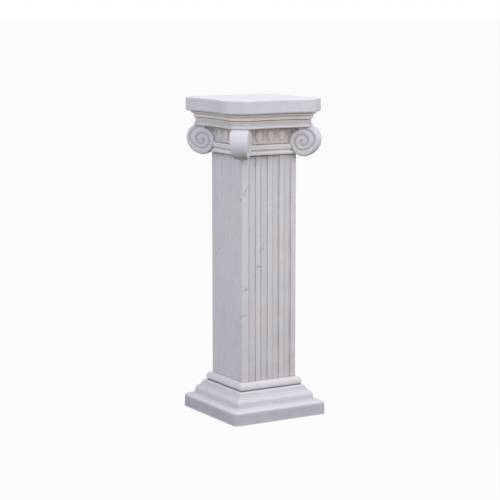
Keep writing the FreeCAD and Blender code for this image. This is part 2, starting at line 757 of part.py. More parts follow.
def make_cornice():
    """A bead and a wider band under the slab."""
    piece = Piece("cornice")
    bead = piece.sketch("XY_Plane", cornice_bottom)
    cornice_cut = given("ribbon_cut") + (given("cornice_overhang") - given("ribbon_set")) * CUT_PER_INSET
    draw_outline(bead, hollow_sided(cornice_half, cornice_cut))
    piece.pad(bead, given("cornice_bead"))
    piece.round_edges(given("cornice_bead_round"), at_level(cornice_bottom))
    piece.round_edges(given("cornice_bead_round"), at_level(cornice_split))
    band = piece.sketch("XY_Plane", cornice_split)
    band_cut = cornice_cut + given("cornice_band_out") * CUT_PER_INSET
    draw_outline(band, hollow_sided(cornice_band_half, band_cut))
    piece.pad(band, given("cornice_band"))
    piece.bore(given("cornice_bore"))
    piece.dowel_holes(slab_dowels, cornice_top, cornice_top - cornice_bottom, upward=False)
    return piece


def make_slab():
    """The top slab, flat on top, with hollow sides and cut corners."""
    piece = Piece("abacus_slab")
    plan = piece.sketch("XY_Plane", slab_bottom)
    draw_outline(plan, hollow_sided(slab_half, given("slab_cut")))
    piece.pad(plan, given("slab_thick"))
    piece.round_edges(given("slab_edge_round"), at_level(slab_top))
    piece.round_edges(given("slab_edge_round"), at_level(slab_bottom))
    cornice_height = cornice_top - cornice_bottom
    grip = (given("dowel_length") - cornice_height - bed * 2) / 2 + given("dowel_clearance")
    piece.dowel_holes(slab_dowels, slab_bottom, grip, upward=True)
    return piece


def make_bed(name, half, low, bore, dowel_place):
    """A thin setting bed between two castings."""
    piece = Piece(name)
    plan = piece.sketch("XY_Plane", low)
    draw_outline(plan, square(half - given("bed_inset")))
    draw_circle(plan, ZERO, ZERO, bore)
    for across in (dowel_place, -dowel_place):
        for along in (dowel_place, -dowel_place):
            draw_circle(plan, across, along, dowel_hole)
    piece.pad(plan, bed)
    return piece


# ---------------------------------------------------------------------------------------------
# Steelwork, dowels and feet
# ---------------------------------------------------------------------------------------------


def bind(item, sizes):
    """Ties the properties of a primitive to the sheet."""
    for prop, size in sizes.items():
        item.setExpression(prop, size.text)
    return item


def cylinder(name, diameter, length, across=ZERO, along=ZERO, low=ZERO):
    """An upright cylinder."""
    return bind(doc.addObject("Part::Cylinder", name), {
        "Radius": diameter / 2,
        "Height": length,
        "Placement.Base.x": across,
        "Placement.Base.y": along,
        "Placement.Base.z": low,
    })


def drilled(name, solid, diameter, length, low):
    """The solid with an upright hole through its middle."""
    cut = doc.addObject("Part::Cut", name)
    cut.Base = solid
    cut.Tool = cylinder("%s_hole" % name, diameter, length, low=low)
    return cut


def group(name, members):
    """Identical solids as one sub-part."""
    made = doc.addObject("Part::Compound", name)
    made.Label = name
    made.Links = members
    return made


def make_plate(name, low):
    """A square tie plate with a hole for the rod."""
    width, thick = given("plate_width"), given("plate_thick")
    solid = bind(doc.addObject("Part::Box", "%s_blank" % name), {
        "Length": width,
        "Width": width,
        "Height": thick,
        "Placement.Base.x": -width / 2,
        "Placement.Base.y": -width / 2,
        "Placement.Base.z": low,
    })
    made = drilled(name, solid, given("rod_diameter") + given("plate_clearance"), thick, low)
    made.Label = name
    return made


def make_washers(levels):
    """The washers on the tie rod, one under each nut."""
    hole = given("rod_diameter") + given("thread_gap") * 2
    members = []
    for index, low in enumerate(levels):
        disc = cylinder("washer_%d_blank" % index, given("washer_diameter"), given("washer_thick"), low=low)
        members.append(drilled("washer_%d" % index, disc, hole, given("washer_thick"), low))
    return group("tie_washers", members)


def make_nuts(levels):
    """The two hexagon nuts."""
    hole = given("rod_diameter") + given("thread_gap") * 2
    members = []
    for index, low in enumerate(levels):
        prism = bind(doc.addObject("Part::Prism", "nut_%d_blank" % index), {
            "Circumradius": given("nut_flats") / math.sqrt(3.0),
            "Height": given("nut_height"),
            "Placement.Base.z": low,
        })
        prism.Polygon = 6
        members.append(drilled("nut_%d" % index, prism, hole, given("nut_height"), low))
    return group("tie_nuts", members)


def make_rod(low, high):
    """The tie rod from nut to nut, its ends chamfered."""
    piece = Piece("tie_rod")
    radius, chamfer = given("rod_diameter") / 2, given("rod_chamfer")
    profile = piece.sketch("XZ_Plane")
    draw_outline(profile, [
        Corner(ZERO, low),
        Corner(radius - chamfer, low),
        Corner(radius, low + chamfer),
        Corner(radius, high - chamfer),
        Corner(radius - chamfer, high),
        Corner(ZERO, high),
    ])
    turned = piece.body.newObject("PartDesign::Revolution", "tie_rod_turned")
    turned.Profile = profile
    turned.ReferenceAxis = (piece.origin("Z_Axis"), [""])
    turned.Angle = 360
    doc.recompute()
    return piece


def make_dowels(name, place, middle):
    """Four upright dowels round the axis, centred on a level."""
    low = middle - given("dowel_length") / 2
    members = []
    for right in (1, -1):
        for rear in (1, -1):
            member = "%s_%d" % (name, len(members))
            size = given("dowel_diameter"), given("dowel_length")
            members.append(cylinder(member, *size, place * right, place * rear, low))
    return group(name, members)


def make_pins(degrees_list):
    """The volute pins, along the diagonals."""
    members = []
    for index, degrees in enumerate(degrees_list):
        start = bell_half * ROOT_TWO - given("pin_grip")
        cosine, sine = math.cos(math.radians(degrees)), math.sin(math.radians(degrees))
        pin = cylinder("volute_pin_%d" % index, given("pin_diameter"), given("pin_length"),
                       start * cosine, start * sine, pin_level)
        pin.Placement.Rotation = Rotation(Vector(0, 0, 1), Vector(cosine, sine, 0))
        members.append(pin)
    return group("volute_pins", members)


def make_foot(name, right, rear):
    """A soft foot, glued into its recess under the plinth."""
    place = plinth_half - given("foot_inset")
    foot = cylinder(name, given("foot_diameter"), given("foot_proud") + given("foot_recess"),
                    place * right, place * rear)
    foot.Label = name
    return foot


# ---------------------------------------------------------------------------------------------
# The assembly
# ---------------------------------------------------------------------------------------------

SIDES = (("front", 0), ("right", 1), ("back", 2), ("left", 3))
DIAGONALS = (("front_left", -135), ("front_right", -45), ("back_right", 45), ("back_left", 135))
FEET = (("front_left", -1, -1), ("front_right", 1, -1), ("back_right", 1, 1), ("back_left", -1, 1))

pieces = [make_base(), make_torus(), make_shaft(), make_collar(), make_bell(), make_cornice(), make_slab()]
for side_name, turns in SIDES:
    pieces.append(make_panel("frieze_panel_%s" % side_name, turns))
for corner_name, angle in DIAGONALS:
    pieces.append(make_volute("volute_%s" % corner_name, angle))

core = given("core_bore")
pieces.append(make_bed("bed_base", torus_half, base_top, core, shaft_dowels))
pieces.append(make_bed("bed_shaft_foot", shaft_half - given("flute_wall"), torus_top, core, shaft_dowels))
pieces.append(make_bed("bed_shaft_head", shaft_half - given("flute_wall"), shaft_top, core, shaft_dowels))
pieces.append(make_bed("bed_bell", bell_half, collar_top, core, shaft_dowels))
plate_corner = (given("plate_width") + given("plate_clearance") * 2) * ROOT_TWO
cap_half = ribbon_face_half - given("side_bow")
pieces.append(make_bed("bed_cornice", cap_half, bell_top, plate_corner, slab_dowels))
pieces.append(make_bed("bed_slab", cap_half, cornice_top, given("cornice_bore"), slab_dowels))

web_bottom = base_top - given("base_web")
upper_seat = bell_top - given("upper_pocket")
plate, washer, nut = given("plate_thick"), given("washer_thick"), given("nut_height")
lower_washer = web_bottom - plate - washer
upper_washer = upper_seat + plate
rod_bottom = lower_washer - nut - given("rod_tail")
rod_top = upper_washer + washer + nut + given("rod_tail")
pieces.append(make_rod(rod_bottom, rod_top))
named = [piece.body for piece in pieces]
named.append(make_plate("tie_plate_lower", web_bottom - plate))
named.append(make_plate("tie_plate_upper", upper_seat))
named.append(make_washers((lower_washer, upper_washer)))
named.append(make_nuts((lower_washer - nut, upper_washer + washer)))
named.append(make_dowels("dowels_base", shaft_dowels, (base_top + shaft_bottom) / 2))
named.append(make_dowels("dowels_neck", shaft_dowels, (shaft_top + bell_bottom) / 2))
named.append(make_dowels("dowels_slab", slab_dowels, (bell_top + slab_bottom) / 2))
named.append(make_pins([angle for _, angle in DIAGONALS]))
for corner_name, right, rear in FEET:
    named.append(make_foot("foot_%s" % corner_name, right, rear))

doc.recompute()

for item in doc.Objects:
    if "Invalid" in item.State or "Error" in item.State:
        raise RuntimeError("%s failed: %s" % (item.Label, item.State))
for item in named:
    shape = item.Shape
    if shape.isNull() or not shape.isValid() or not shape.Solids:
        raise RuntimeError("%s has no valid shape" % item.Label)
for item in named:
    item.Shape.exportStep("parts/%s.step" % item.Label)
    print("%-22s solids %2d  volume %9.0f mm3" % (item.Label, len(item.Shape.Solids), item.Shape.Volume))
widths = slab_half.number * 2, plinth_half.number * 2
print("height %.1f, slab width %.1f, plinth width %.1f" % (slab_top.number, *widths))
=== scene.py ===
"""Looks of a square fluted pedestal stand with an angular scrolled capital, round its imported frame."""

from __future__ import annotations

import logging
import math
from dataclasses import dataclass, field
from enum import Enum
from functools import partialmethod

import bmesh
import bpy
import numpy as np
from mathutils import Matrix, Vector


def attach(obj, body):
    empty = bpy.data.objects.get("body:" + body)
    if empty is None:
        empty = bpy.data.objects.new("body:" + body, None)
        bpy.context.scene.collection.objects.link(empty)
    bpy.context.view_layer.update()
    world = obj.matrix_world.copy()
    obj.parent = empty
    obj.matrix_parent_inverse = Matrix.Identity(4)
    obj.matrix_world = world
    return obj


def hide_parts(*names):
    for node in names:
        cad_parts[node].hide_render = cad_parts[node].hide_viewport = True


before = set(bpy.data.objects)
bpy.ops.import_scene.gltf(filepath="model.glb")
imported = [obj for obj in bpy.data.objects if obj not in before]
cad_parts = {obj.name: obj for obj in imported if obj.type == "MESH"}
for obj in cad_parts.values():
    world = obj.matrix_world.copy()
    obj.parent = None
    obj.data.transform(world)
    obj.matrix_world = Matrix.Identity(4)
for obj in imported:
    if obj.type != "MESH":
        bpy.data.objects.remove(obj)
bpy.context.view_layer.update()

MM = 0.001
TAU = 2.0 * math.pi
QUARTER = math.pi / 2.0
log = logging.getLogger("pedestal")

Pair = tuple[float, float]
Colour = tuple[float, float, float]


class Plan(Enum):
    """Shape of a moulding seen from above."""

    SQUARE = "square with rounded corners"
    HOLLOW = "hollow sides and cut corners"
    ROUND = "round"


class Side(Enum):
    """The four faces, by quarter turns from the front."""

    front = 0
    right = 1
    back = 2
    left = 3


# ---------------------------------------------------------------------------------------------
# Lines, plans and sections, in millimetres
# ---------------------------------------------------------------------------------------------

ARC_POINTS = 13
RING_POINTS = 432
ROUND_POINTS = 8
EASE_POINTS, CUT_POINTS = 7, 10
BOW = 10.0
TRACE = 0.2


def unit(value: float) -> float:
    """Holds a number between 0 and 1."""
    return min(max(value, 0.0), 1.0)


def resampled(line: np.ndarray, spacing: float) -> np.ndarray:
    """Spaces points evenly along a polyline.

    Args:
        line: The polyline, one point a row.
        spacing: Distance between the new points.

    Returns:
        The new points, with both ends kept.
    """
    along = np.r_[0.0, np.cumsum(np.linalg.norm(np.diff(line, axis=0), axis=1))]
    places = np.linspace(0.0, along[-1], max(int(along[-1] / spacing), 2) + 1)
    return np.column_stack([np.interp(places, along, column) for column in line.T])


def softened(line: np.ndarray, radius: float, spacing: float) -> np.ndarray:
    """Smooths an evenly spaced polyline, as wearing does, with its ends held.

    Args:
        line: The polyline, one point a row.
        radius: Gaussian radius of the smoothing.
        spacing: Distance between the points.

    Returns:
        As many points, smoothed.
    """
    reach = min(int(3.0 * radius / spacing) + 1, len(line) - 1)
    weights = np.exp(-0.5 * (np.arange(-reach, reach + 1) * spacing / radius) ** 2)
    weights /= weights.sum()
    padded = np.pad(line, ((reach, reach), (0, 0)), mode="reflect", reflect_type="odd")
    return np.column_stack([np.convolve(column, weights, "valid") for column in padded.T])


def arc(centre: Pair, radii: Pair, first: float, last: float) -> list[Pair]:
    """Points along an elliptical arc, between two angles in degrees."""
    angles = np.radians(np.linspace(first, last, ARC_POINTS))
    return [(centre[0] + radii[0] * math.cos(a), centre[1] + radii[1] * math.sin(a)) for a in angles]


def turned(places: np.ndarray, angle: float) -> np.ndarray:
    """Turns places about the upright axis."""
    c, s = math.cos(angle), math.sin(angle)
    return np.column_stack((places[:, :2] @ np.array(((c, s), (-s, c))), places[:, 2:]))


@dataclass(frozen=True)
class Corner:
    """How one corner of a hand-made plan differs from the others: its reach and its rounding."""

    gain: float = 0.0
    trim: float = 4.0


EVEN = (Corner(),) * 4
PLINTH_CORNERS = (Corner(-3.0), Corner(), Corner(), Corner(5.0))


def square_side(half: float, before: float, after: float) -> np.ndarray:
    """One side of a square plan from one corner's radius, and the rounded corner after it.

    Args:
        half: Half the width.
        before: Radius of the corner that the side starts from.
        after: Radius of the corner that it ends in.

    Returns:
        The points, from the side's left end.
    """
    flat, steps = half - after, RING_POINTS // 4 - ROUND_POINTS
    side = np.column_stack((np.linspace(before - half, flat, steps), np.full(steps, -half)))
    angle = np.linspace(-QUARTER, 0.0, ROUND_POINTS + 2)[1:-1]
    return np.vstack((side, np.column_stack((flat + after * np.cos(angle), after * np.sin(angle) - flat))))


def eased(first: np.ndarray, pull: np.ndarray, last: np.ndarray) -> np.ndarray:
    """Inner points of a quadratic curve that rounds off a bend."""
    t = np.linspace(0.0, 1.0, EASE_POINTS + 2)[1:-1, None]
    return first * (1 - t) ** 2 + pull * 2 * t * (1 - t) + last * t**2


def hollow_side(half: float, cut: float, before: Corner, after: Corner) -> np.ndarray:
    """One hollow side and the cut corner after it.

    Args:
        half: Half the width over the corners.
        cut: Length that a cut corner takes off the side.
        before: The corner that the side starts from.
        after: The corner that it ends in.

    Returns:
        The points, counter-clockwise, from the side's left end.
    """
    start, end = half - cut - before.gain, half - cut - after.gain
    middle, span = (end - start) / 2.0, (end + start) / 2.0
    steps = RING_POINTS // 4 - CUT_POINTS - 2 * EASE_POINTS
    across = np.linspace(before.trim - start, end - after.trim, steps)
    side = np.column_stack((across, -half + BOW * (1.0 - ((across - middle) / span) ** 2)))
    near, far = np.array((end, -half)), np.array((half, -end))
    inset = (far - near) / np.linalg.norm(far - near) * after.trim
    chamfer = np.linspace(near + inset, far - inset, CUT_POINTS)
    sag = BOW * (1.0 - (1.0 - after.trim / span) ** 2)
    following = np.array((half - sag, after.trim - end))
    return np.vstack((side, eased(side[-1], near, chamfer[0]), chamfer, eased(chamfer[-1], far, following)))


def ring(plan: Plan, half: float, corner: float = 0.0, corners: tuple[Corner, ...] = EVEN) -> np.ndarray:
    """A closed plan with a fixed number of points, from the front side's left end.

    Args:
        plan: Its shape.
        half: Half its width, or its radius.
        corner: Radius of a square's corners, or length of the cut.
        corners: Front right, back right, back left and front left corner.

    Returns:
        The points, counter-clockwise.
    """
    if plan is Plan.ROUND:
        angle = -1.5 * QUARTER + TAU * (np.arange(RING_POINTS) + 0.5) / RING_POINTS
        return half * np.column_stack((np.cos(angle), np.sin(angle)))
    sides = []
    for quarter, after in enumerate(corners):
        before = corners[quarter - 1]
        if plan is Plan.SQUARE:
            side = square_side(half, max(corner + before.gain, 0.5), max(corner + after.gain, 0.5))
        else:
            side = hollow_side(half, corner, before, after)
        sides.append(turned(side, quarter * QUARTER))
    return np.vstack(sides)


@dataclass(frozen=True)
class Outline:
    """A hollow-sided plan with the uneven corners of hand work."""

    half: float
    cut: float
    back_left: float
    trim: float = 3.0
    near_trim: float = 9.0

    def at(self, half: float) -> np.ndarray:
        """The plan at another half width; its cuts shorten as it moves in.

        Args:
            half: The half width.

        Returns:
            The plan's points.
        """
        usual = Corner(0.0, self.trim)
        corners = (usual, usual, Corner(self.back_left, self.trim), Corner(0.0, self.near_trim))
        return ring(Plan.HOLLOW, half, self.cut - (self.half - half) * (2.0 - math.sqrt(2.0)), corners)


RIBBON_PLAN = Outline(120.8, 32.4, -6.0)
CORNICE_PLAN = Outline(121.2, 32.6, -4.0)
SLAB_PLAN = Outline(139.6, 45.9, -6.5, trim=2.5, near_trim=15.0)


@dataclass(frozen=True)
class Section:
    """Outer section of a moulding, from its lower edge to its upper one."""

    points: tuple[Pair, ...]
    worn: float = 0.7
    fine: float = 0.8
    coarse: float = 2.8

    def traced(self) -> tuple[np.ndarray, np.ndarray, np.ndarray]:
        """Samples the worn section, closer where it bends.

        Returns:
            The points, how hollow each is and how proud, from 0 to 1.
        """
        line = softened(resampled(np.array(self.points, float), TRACE), self.worn, TRACE)
        tangent = np.gradient(line, axis=0)
        tangent /= np.linalg.norm(tangent, axis=1)[:, None] + 1e-9
        normal = np.column_stack((tangent[:, 1], -tangent[:, 0]))
        offset = np.sum((softened(line, 2.6, TRACE) - line) * normal, axis=1)
        bend = np.linalg.norm(np.gradient(tangent, axis=0), axis=1) / TRACE
        closeness = softened(np.clip(bend / 0.12, 0.0, 1.0)[:, None], 1.0, TRACE)[:, 0]
        density = 1.0 / self.coarse + (1.0 / self.fine - 1.0 / self.coarse) * closeness
        total = np.r_[0.0, np.cumsum(0.5 * (density[1:] + density[:-1]) * TRACE)]
        places = np.linspace(0.0, total[-1], int(total[-1]) + 2)
        x, y, offset = (np.interp(places, total, column) for column in (*line.T, offset))
        return np.column_stack((x, y)), np.clip(offset / 0.75, 0.0, 1.0), np.clip(-offset / 0.55, 0.0, 1.0)


PLINTH = Section((
    (127.0, 1.0), (131.6, 1.0), (132.0, 2.0), (130.9, 29.5), *arc((125.4, 30.2), (5.3, 5.3), 5, 78),
    (118.4, 37.6), (118.0, 38.2), *arc((118.6, 41.4), (6.2, 3.4), 262, 185), (111.5, 42.4), (110.6, 51.4),
    *arc((109.0, 52.2), (1.7, 1.5), 0, 60), *arc((118.0, 78.0), (23.2, 23.2), 243, 192),
    (94.6, 74.0), (92.6, 74.5), (88.0, 74.5)), worn=0.85)
TORUS = Section((
    (84.0, 75.5), (85.6, 75.5), *arc((83.6, 82.2), (6.4, 6.5), -68, 12),
    *arc((79.8, 82.5), (10.2, 12.6), 12, 88), (77.0, 95.1)), worn=0.6)
NECK = Section((
    (76.0, 661.5), (79.6, 661.5), *arc((79.6, 667.0), (4.9, 5.2), -80, 80), (81.4, 672.6), (81.2, 674.2),
    (81.6, 675.6), (83.4, 676.6), (84.0, 678.4), (84.0, 683.6), *arc((81.6, 684.8), (2.4, 3.0), 0, 85),
    (76.0, 688.0)))
RIBBON = Section((
    (112.0, 729.5), (118.4, 729.5), *arc((118.2, 732.1), (2.6, 2.6), -90, 30), (119.6, 734.6),
    (117.6, 736.6), (116.1, 739.0), (115.6, 741.5), (115.8, 744.0), (116.6, 746.4), (117.4, 747.6),
    (116.8, 748.5), (110.0, 748.5)), worn=0.8)
BEADS = Section((
    (112.0, 749.5), (119.6, 749.5), (120.9, 750.6), (121.2, 752.8), (121.0, 755.4), (120.0, 756.8),
    (120.0, 757.4), (121.4, 758.2), (124.2, 759.6), (126.6, 761.6), (127.9, 763.6), (128.1, 765.0),
    (112.0, 765.0)), worn=0.6, fine=0.6)
SLAB_EDGE = Section((
    (118.0, 766.0), (134.7, 766.0), *arc((134.7, 771.0), (5.0, 5.0), -90, 0), (139.2, 786.0),
    (139.2, 797.6), *arc((137.6, 798.0), (1.6, 1.7), 0, 90), (126.0, 799.7)))


def placed(name: str, data: bpy.types.ID) -> bpy.types.Object:
    """Makes an object of some data in the scene.

    Args:
        name: Its name.
        data: Its mesh, light or camera.

    Returns:
        The new object.
    """
    made = bpy.data.objects.new(name, data)
    bpy.context.scene.collection.objects.link(made)
    return made


def solid(name: str, places: np.ndarray, faces: list, wash: np.ndarray, wear: np.ndarray) -> bpy.types.Object:
    """Makes a smooth-shaded object at the origin.

    Args:
        name: Its name.
        places: Its points.
        faces: Its faces.
        wash: How much limewash and painted shade each point holds.
        wear: How worn each point is, with the painted highlight that some points carry.

    Returns:
        The new object.
    """
    mesh = bpy.data.meshes.new(name)
    mesh.from_pydata((places * MM).tolist(), [], faces)
    mesh.update()
    mesh.shade_smooth()
    for mark, values in (("wash", wash), ("wear", wear)):
        mesh.attributes.new(mark, "FLOAT", "POINT").data.foreach_set("value", np.asarray(values, np.float32))
    return placed(name, mesh)


def lofted(rows: int, count: int, looped: bool = False) -> list[list[int]]:
    """Faces between rings of equal count.

    Args:
        rows: Number of rings.
        count: Points in a ring.
        looped: Whether the last ring joins the first.

    Returns:
        The faces.
    """
    index = np.arange(rows * count).reshape(rows, count)
    lower, upper = (index, np.roll(index, -1, axis=0)) if looped else (index[:-1], index[1:])
    quads = np.stack((lower, np.roll(lower, -1, axis=1), np.roll(upper, -1, axis=1), upper), axis=-1)
    return quads.reshape(-1, 4).tolist()


def fans(rows: int, count: int) -> list[list[int]]:
    """Triangles from the first and the last ring to two hubs that follow the rings.

    Args:
        rows: Number of rings.
        count: Points in a ring.

    Returns:
        The faces.
    """
    hub = rows * count
    first, last = list(range(count)), list(range(hub - count, hub))
    return ([[b, a, hub] for a, b in zip(first, first[1:] + first[:1])]
            + [[a, b, hub + 1] for a, b in zip(last, last[1:] + last[:1])])


@dataclass
class Skin:
    """Rings of equal count lofted into one closed skin, with what each ring keeps of the limewash and painted
    shade.
    """

    rings: list[np.ndarray] = field(default_factory=list)
    wash: list[float] = field(default_factory=list)
    wear: list[float] = field(default_factory=list)
    looped: bool = False

    def add(self, plan: np.ndarray, level: float, wash: float = 0.0, wear: float = 0.0) -> None:
        """Adds a ring at a level.

        Args:
            plan: The ring seen from above.
            level: Its height.
            wash: How much limewash and painted shade it holds.
            wear: How worn it is.
        """
        self.rings.append(np.column_stack((plan, np.full(len(plan), level))))
        self.wash.append(wash)
        self.wear.append(wear)

    def reach(self, plan: np.ndarray, level: float, steps: int) -> None:
        """Runs straight from the last ring to a new one.

        Args:
            plan: The new ring seen from above.
            level: Its height.
            steps: Rings up to it, with itself.
        """
        start = self.rings[-1]
        for share in np.linspace(0.0, 1.0, steps + 1)[1:]:
            between = start[:, :2] + (plan - start[:, :2]) * share
            height = start[0, 2] + (level - start[0, 2]) * share
            self.add(between, height, self.wash[-1] * 0.5, self.wear[-1] * 0.5)

    def close(self, steps: int) -> None:
        """Runs back to the first ring and joins it.

        Args:
            steps: Rings up to the first one, with itself.
        """
        self.reach(self.rings[0][:, :2], self.rings[0][0, 2], steps)
        for column in (self.rings, self.wash, self.wear):
            column.pop()
        self.looped = True

    def build(self, name: str) -> bpy.types.Object:
        """Makes the mesh; a skin that isn't looped closes on the axis.

        Args:
            name: The piece's name.

        Returns:
            The new object.
        """
        rows, count, places = len(self.rings), len(self.rings[0]), np.vstack(self.rings)
        wash, wear = np.repeat(self.wash, count), np.repeat(self.wear, count)
        faces = lofted(rows, count, self.looped)
        if not self.looped:
            faces += fans(rows, count)
            places = np.vstack((places, self.rings[0].mean(axis=0), self.rings[-1].mean(axis=0)))
            wash, wear = np.r_[wash, 0.0, 0.0], np.r_[wear, 0.0, 0.0]
        return solid(name, places, faces, wash, wear)


# ---------------------------------------------------------------------------------------------
# Node trees
# ---------------------------------------------------------------------------------------------

SOCKETS = {"Geometry": "Geometry", "material": "Material", "egg": "Object", "dart": "Object", "seed": "Int",
           "Coat": "Color", "Warm": "Color", "Wash": "Color", "Rubbed": "Color", "Color": "Color"}


class Wire:
    """An output in a node tree that is reckoned with like a number."""

    def __init__(self, tree: Tree, socket: bpy.types.NodeSocket) -> None:
        """Holds an output of a tree."""
        self.tree, self.socket = tree, socket

    def op(self, operation: str, *others: object) -> Wire:
        """Runs it through a math node."""
        return self.tree.op(operation, self, *others)

    __add__ = partialmethod(op, "ADD")
    __sub__ = partialmethod(op, "SUBTRACT")
    __mul__ = partialmethod(op, "MULTIPLY")
    __truediv__ = partialmethod(op, "DIVIDE")
    __pow__ = partialmethod(op, "POWER")
    least = partialmethod(op, "MINIMUM")
    most = partialmethod(op, "MAXIMUM")

    def __rsub__(self, other: object) -> Wire:
        """Takes it from a number."""
        return self.tree.op("SUBTRACT", other, self)

    def unit(self) -> Wire:
        """Holds it between 0 and 1."""
        return self.tree.op("ADD", self, 0.0, clamp=True)


class Tree:
    """A small writer for node trees: it makes, links and reckons in one line each."""

    def __init__(self, nodes: bpy.types.NodeTree) -> None:
        """Starts writing into a tree."""
        self.nodes = nodes

    def add(self, kind: str, inputs: dict | None = None, **settings: object) -> bpy.types.Node:
        """Adds a node.

        Args:
            kind: The node's type.
            inputs: What feeds its sockets, by name or number: a wire, a socket or a value.
            **settings: Properties of the node.

        Returns:
            The new node.
        """
        node = self.nodes.nodes.new(kind)
        for key, value in settings.items():
            setattr(node, key, value)
        self.feed(node, inputs or {})
        return node

    def feed(self, node: bpy.types.Node, inputs: dict) -> None:
        """Links or sets sockets of a node.

        Args:
            node: The node.
            inputs: What feeds its sockets, by name or number.
        """
        for key, value in inputs.items():
            if isinstance(value, (Wire, bpy.types.NodeSocket)):
                self.nodes.links.new(getattr(value, "socket", value), node.inputs[key])
            else:
                node.inputs[key].default_value = value

    def out(self, kind: str, inputs: dict | None = None, output: str | int = 0, **settings: object) -> Wire:
        """Adds a node and gives one of its outputs."""
        return Wire(self, self.add(kind, inputs, **settings).outputs[output])

    def op(self, operation: str, *values: object, clamp: bool = False) -> Wire:
        """Adds a math node and gives its result."""
        return self.out("ShaderNodeMath", dict(enumerate(values)), operation=operation, use_clamp=clamp)

    def vector(self, *parts: object) -> Wire:
        """Joins numbers into a vector."""
        return self.out("ShaderNodeCombineXYZ", dict(enumerate(parts)))

    def mix(self, share: Wire, first: object, second: object) -> Wire:
        """Mixes two colours."""
        return self.out("ShaderNodeMix", {0: share, 6: first, 7: second}, 2, data_type="RGBA")

    def spread(self, value: object, low: object, high: object, to_low: float = 0.0, to_high: float = 1.0) -> Wire:
        """Maps a range smoothly onto another."""
        return self.out("ShaderNodeMapRange", {0: value, 1: low, 2: high, 3: to_low, 4: to_high},
                        interpolation_type="SMOOTHSTEP")

    def curve(self, value: Wire, *points: Pair) -> Wire:
        """Reads a value off a drawn line.

        Args:
            value: The value.
            *points: The line's points.

        Returns:
            The line's height there.
        """
        node = self.add("ShaderNodeFloatCurve", {"Value": value})
        line = node.mapping.curves[0].points
        while len(line) < len(points):
            line.new(0.5, 0.5)
        for point, place in zip(line, points):
            point.location = place
            point.handle_type = "VECTOR"
        node.mapping.update()
        return Wire(self, node.outputs[0])

    def noise(self, place: Wire, scale: object, detail: float = 3.0, rough: float = 0.55) -> Wire:
        """Adds a noise texture and gives its height."""
        return self.out("ShaderNodeTexNoise", {"Vector": place, "Scale": scale, "Detail": detail,
                                               "Roughness": rough})

    def marked(self, shape: Wire, name: str, value: Wire) -> Wire:
        """Stores a value at each point of some geometry."""
        return self.out("GeometryNodeStoreNamedAttribute", {"Geometry": shape, "Name": name, "Value": value},
                        data_type="FLOAT", domain="POINT")

    def finish(self, shape: Wire, material: Wire) -> Tree:
        """Ends a geometry tree: real geometry in its material.

        Args:
            shape: The geometry.
            material: Its material.

        Returns:
            The finished tree.
        """
        real = self.out("GeometryNodeRealizeInstances", {0: shape})
        dressed = self.out("GeometryNodeSetMaterial", {"Geometry": real, "Material": material})
        self.add("NodeGroupOutput", {0: dressed})
        return self


def started(name: str, kind: str, inputs: tuple[str, ...], outputs: tuple[str, ...]) -> tuple[Tree, list[Wire]]:
    """Starts a node group.

    Args:
        name: Its name.
        kind: Its type.
        inputs: Names of its inputs, numbers where SOCKETS doesn't say otherwise.
        outputs: Names of its outputs.

    Returns:
        Its writer, and its inputs in order.
    """
    group = bpy.data.node_groups.new(name, kind)
    for way, labels in (("INPUT", inputs), ("OUTPUT", outputs)):
        for label in labels:
            socket = "NodeSocket" + SOCKETS.get(label, "Float")
            group.interface.new_socket(name=label, in_out=way, socket_type=socket)
    tree = Tree(group)
    start = tree.add("NodeGroupInput")
    return tree, [Wire(tree, start.outputs[label]) for label in inputs]


def geometry_tree(name: str, *inputs: str) -> tuple[Tree, list[Wire]]:
    """Starts a geometry tree with a mesh in and out."""
    return started(name, "GeometryNodeTree", ("Geometry", *inputs), ("Geometry",))


def grown(piece: bpy.types.Object, tree: Tree, **values: object) -> bpy.types.Object:
    """Runs a geometry tree on a piece and keeps the result as its plain mesh.

    Args:
        piece: The piece that the tree works on.
        tree: The tree.
        **values: Its inputs.

    Returns:
        The same piece, with its new mesh.
    """
    modifier = piece.modifiers.new(tree.nodes.name, "NODES")
    modifier.node_group = tree.nodes
    for item in tree.nodes.interface.items_tree:
        if item.in_out == "INPUT" and item.name in values:
            modifier[item.identifier] = values[item.name]
    bpy.context.view_layer.update()
    graph = bpy.context.evaluated_depsgraph_get()
    mesh = bpy.data.meshes.new_from_object(piece.evaluated_get(graph), preserve_all_data_layers=True,
                                           depsgraph=graph)
    piece.modifiers.remove(modifier)
    piece.data = mesh
    mesh.name = piece.name
    mesh.shade_smooth()
    return piece


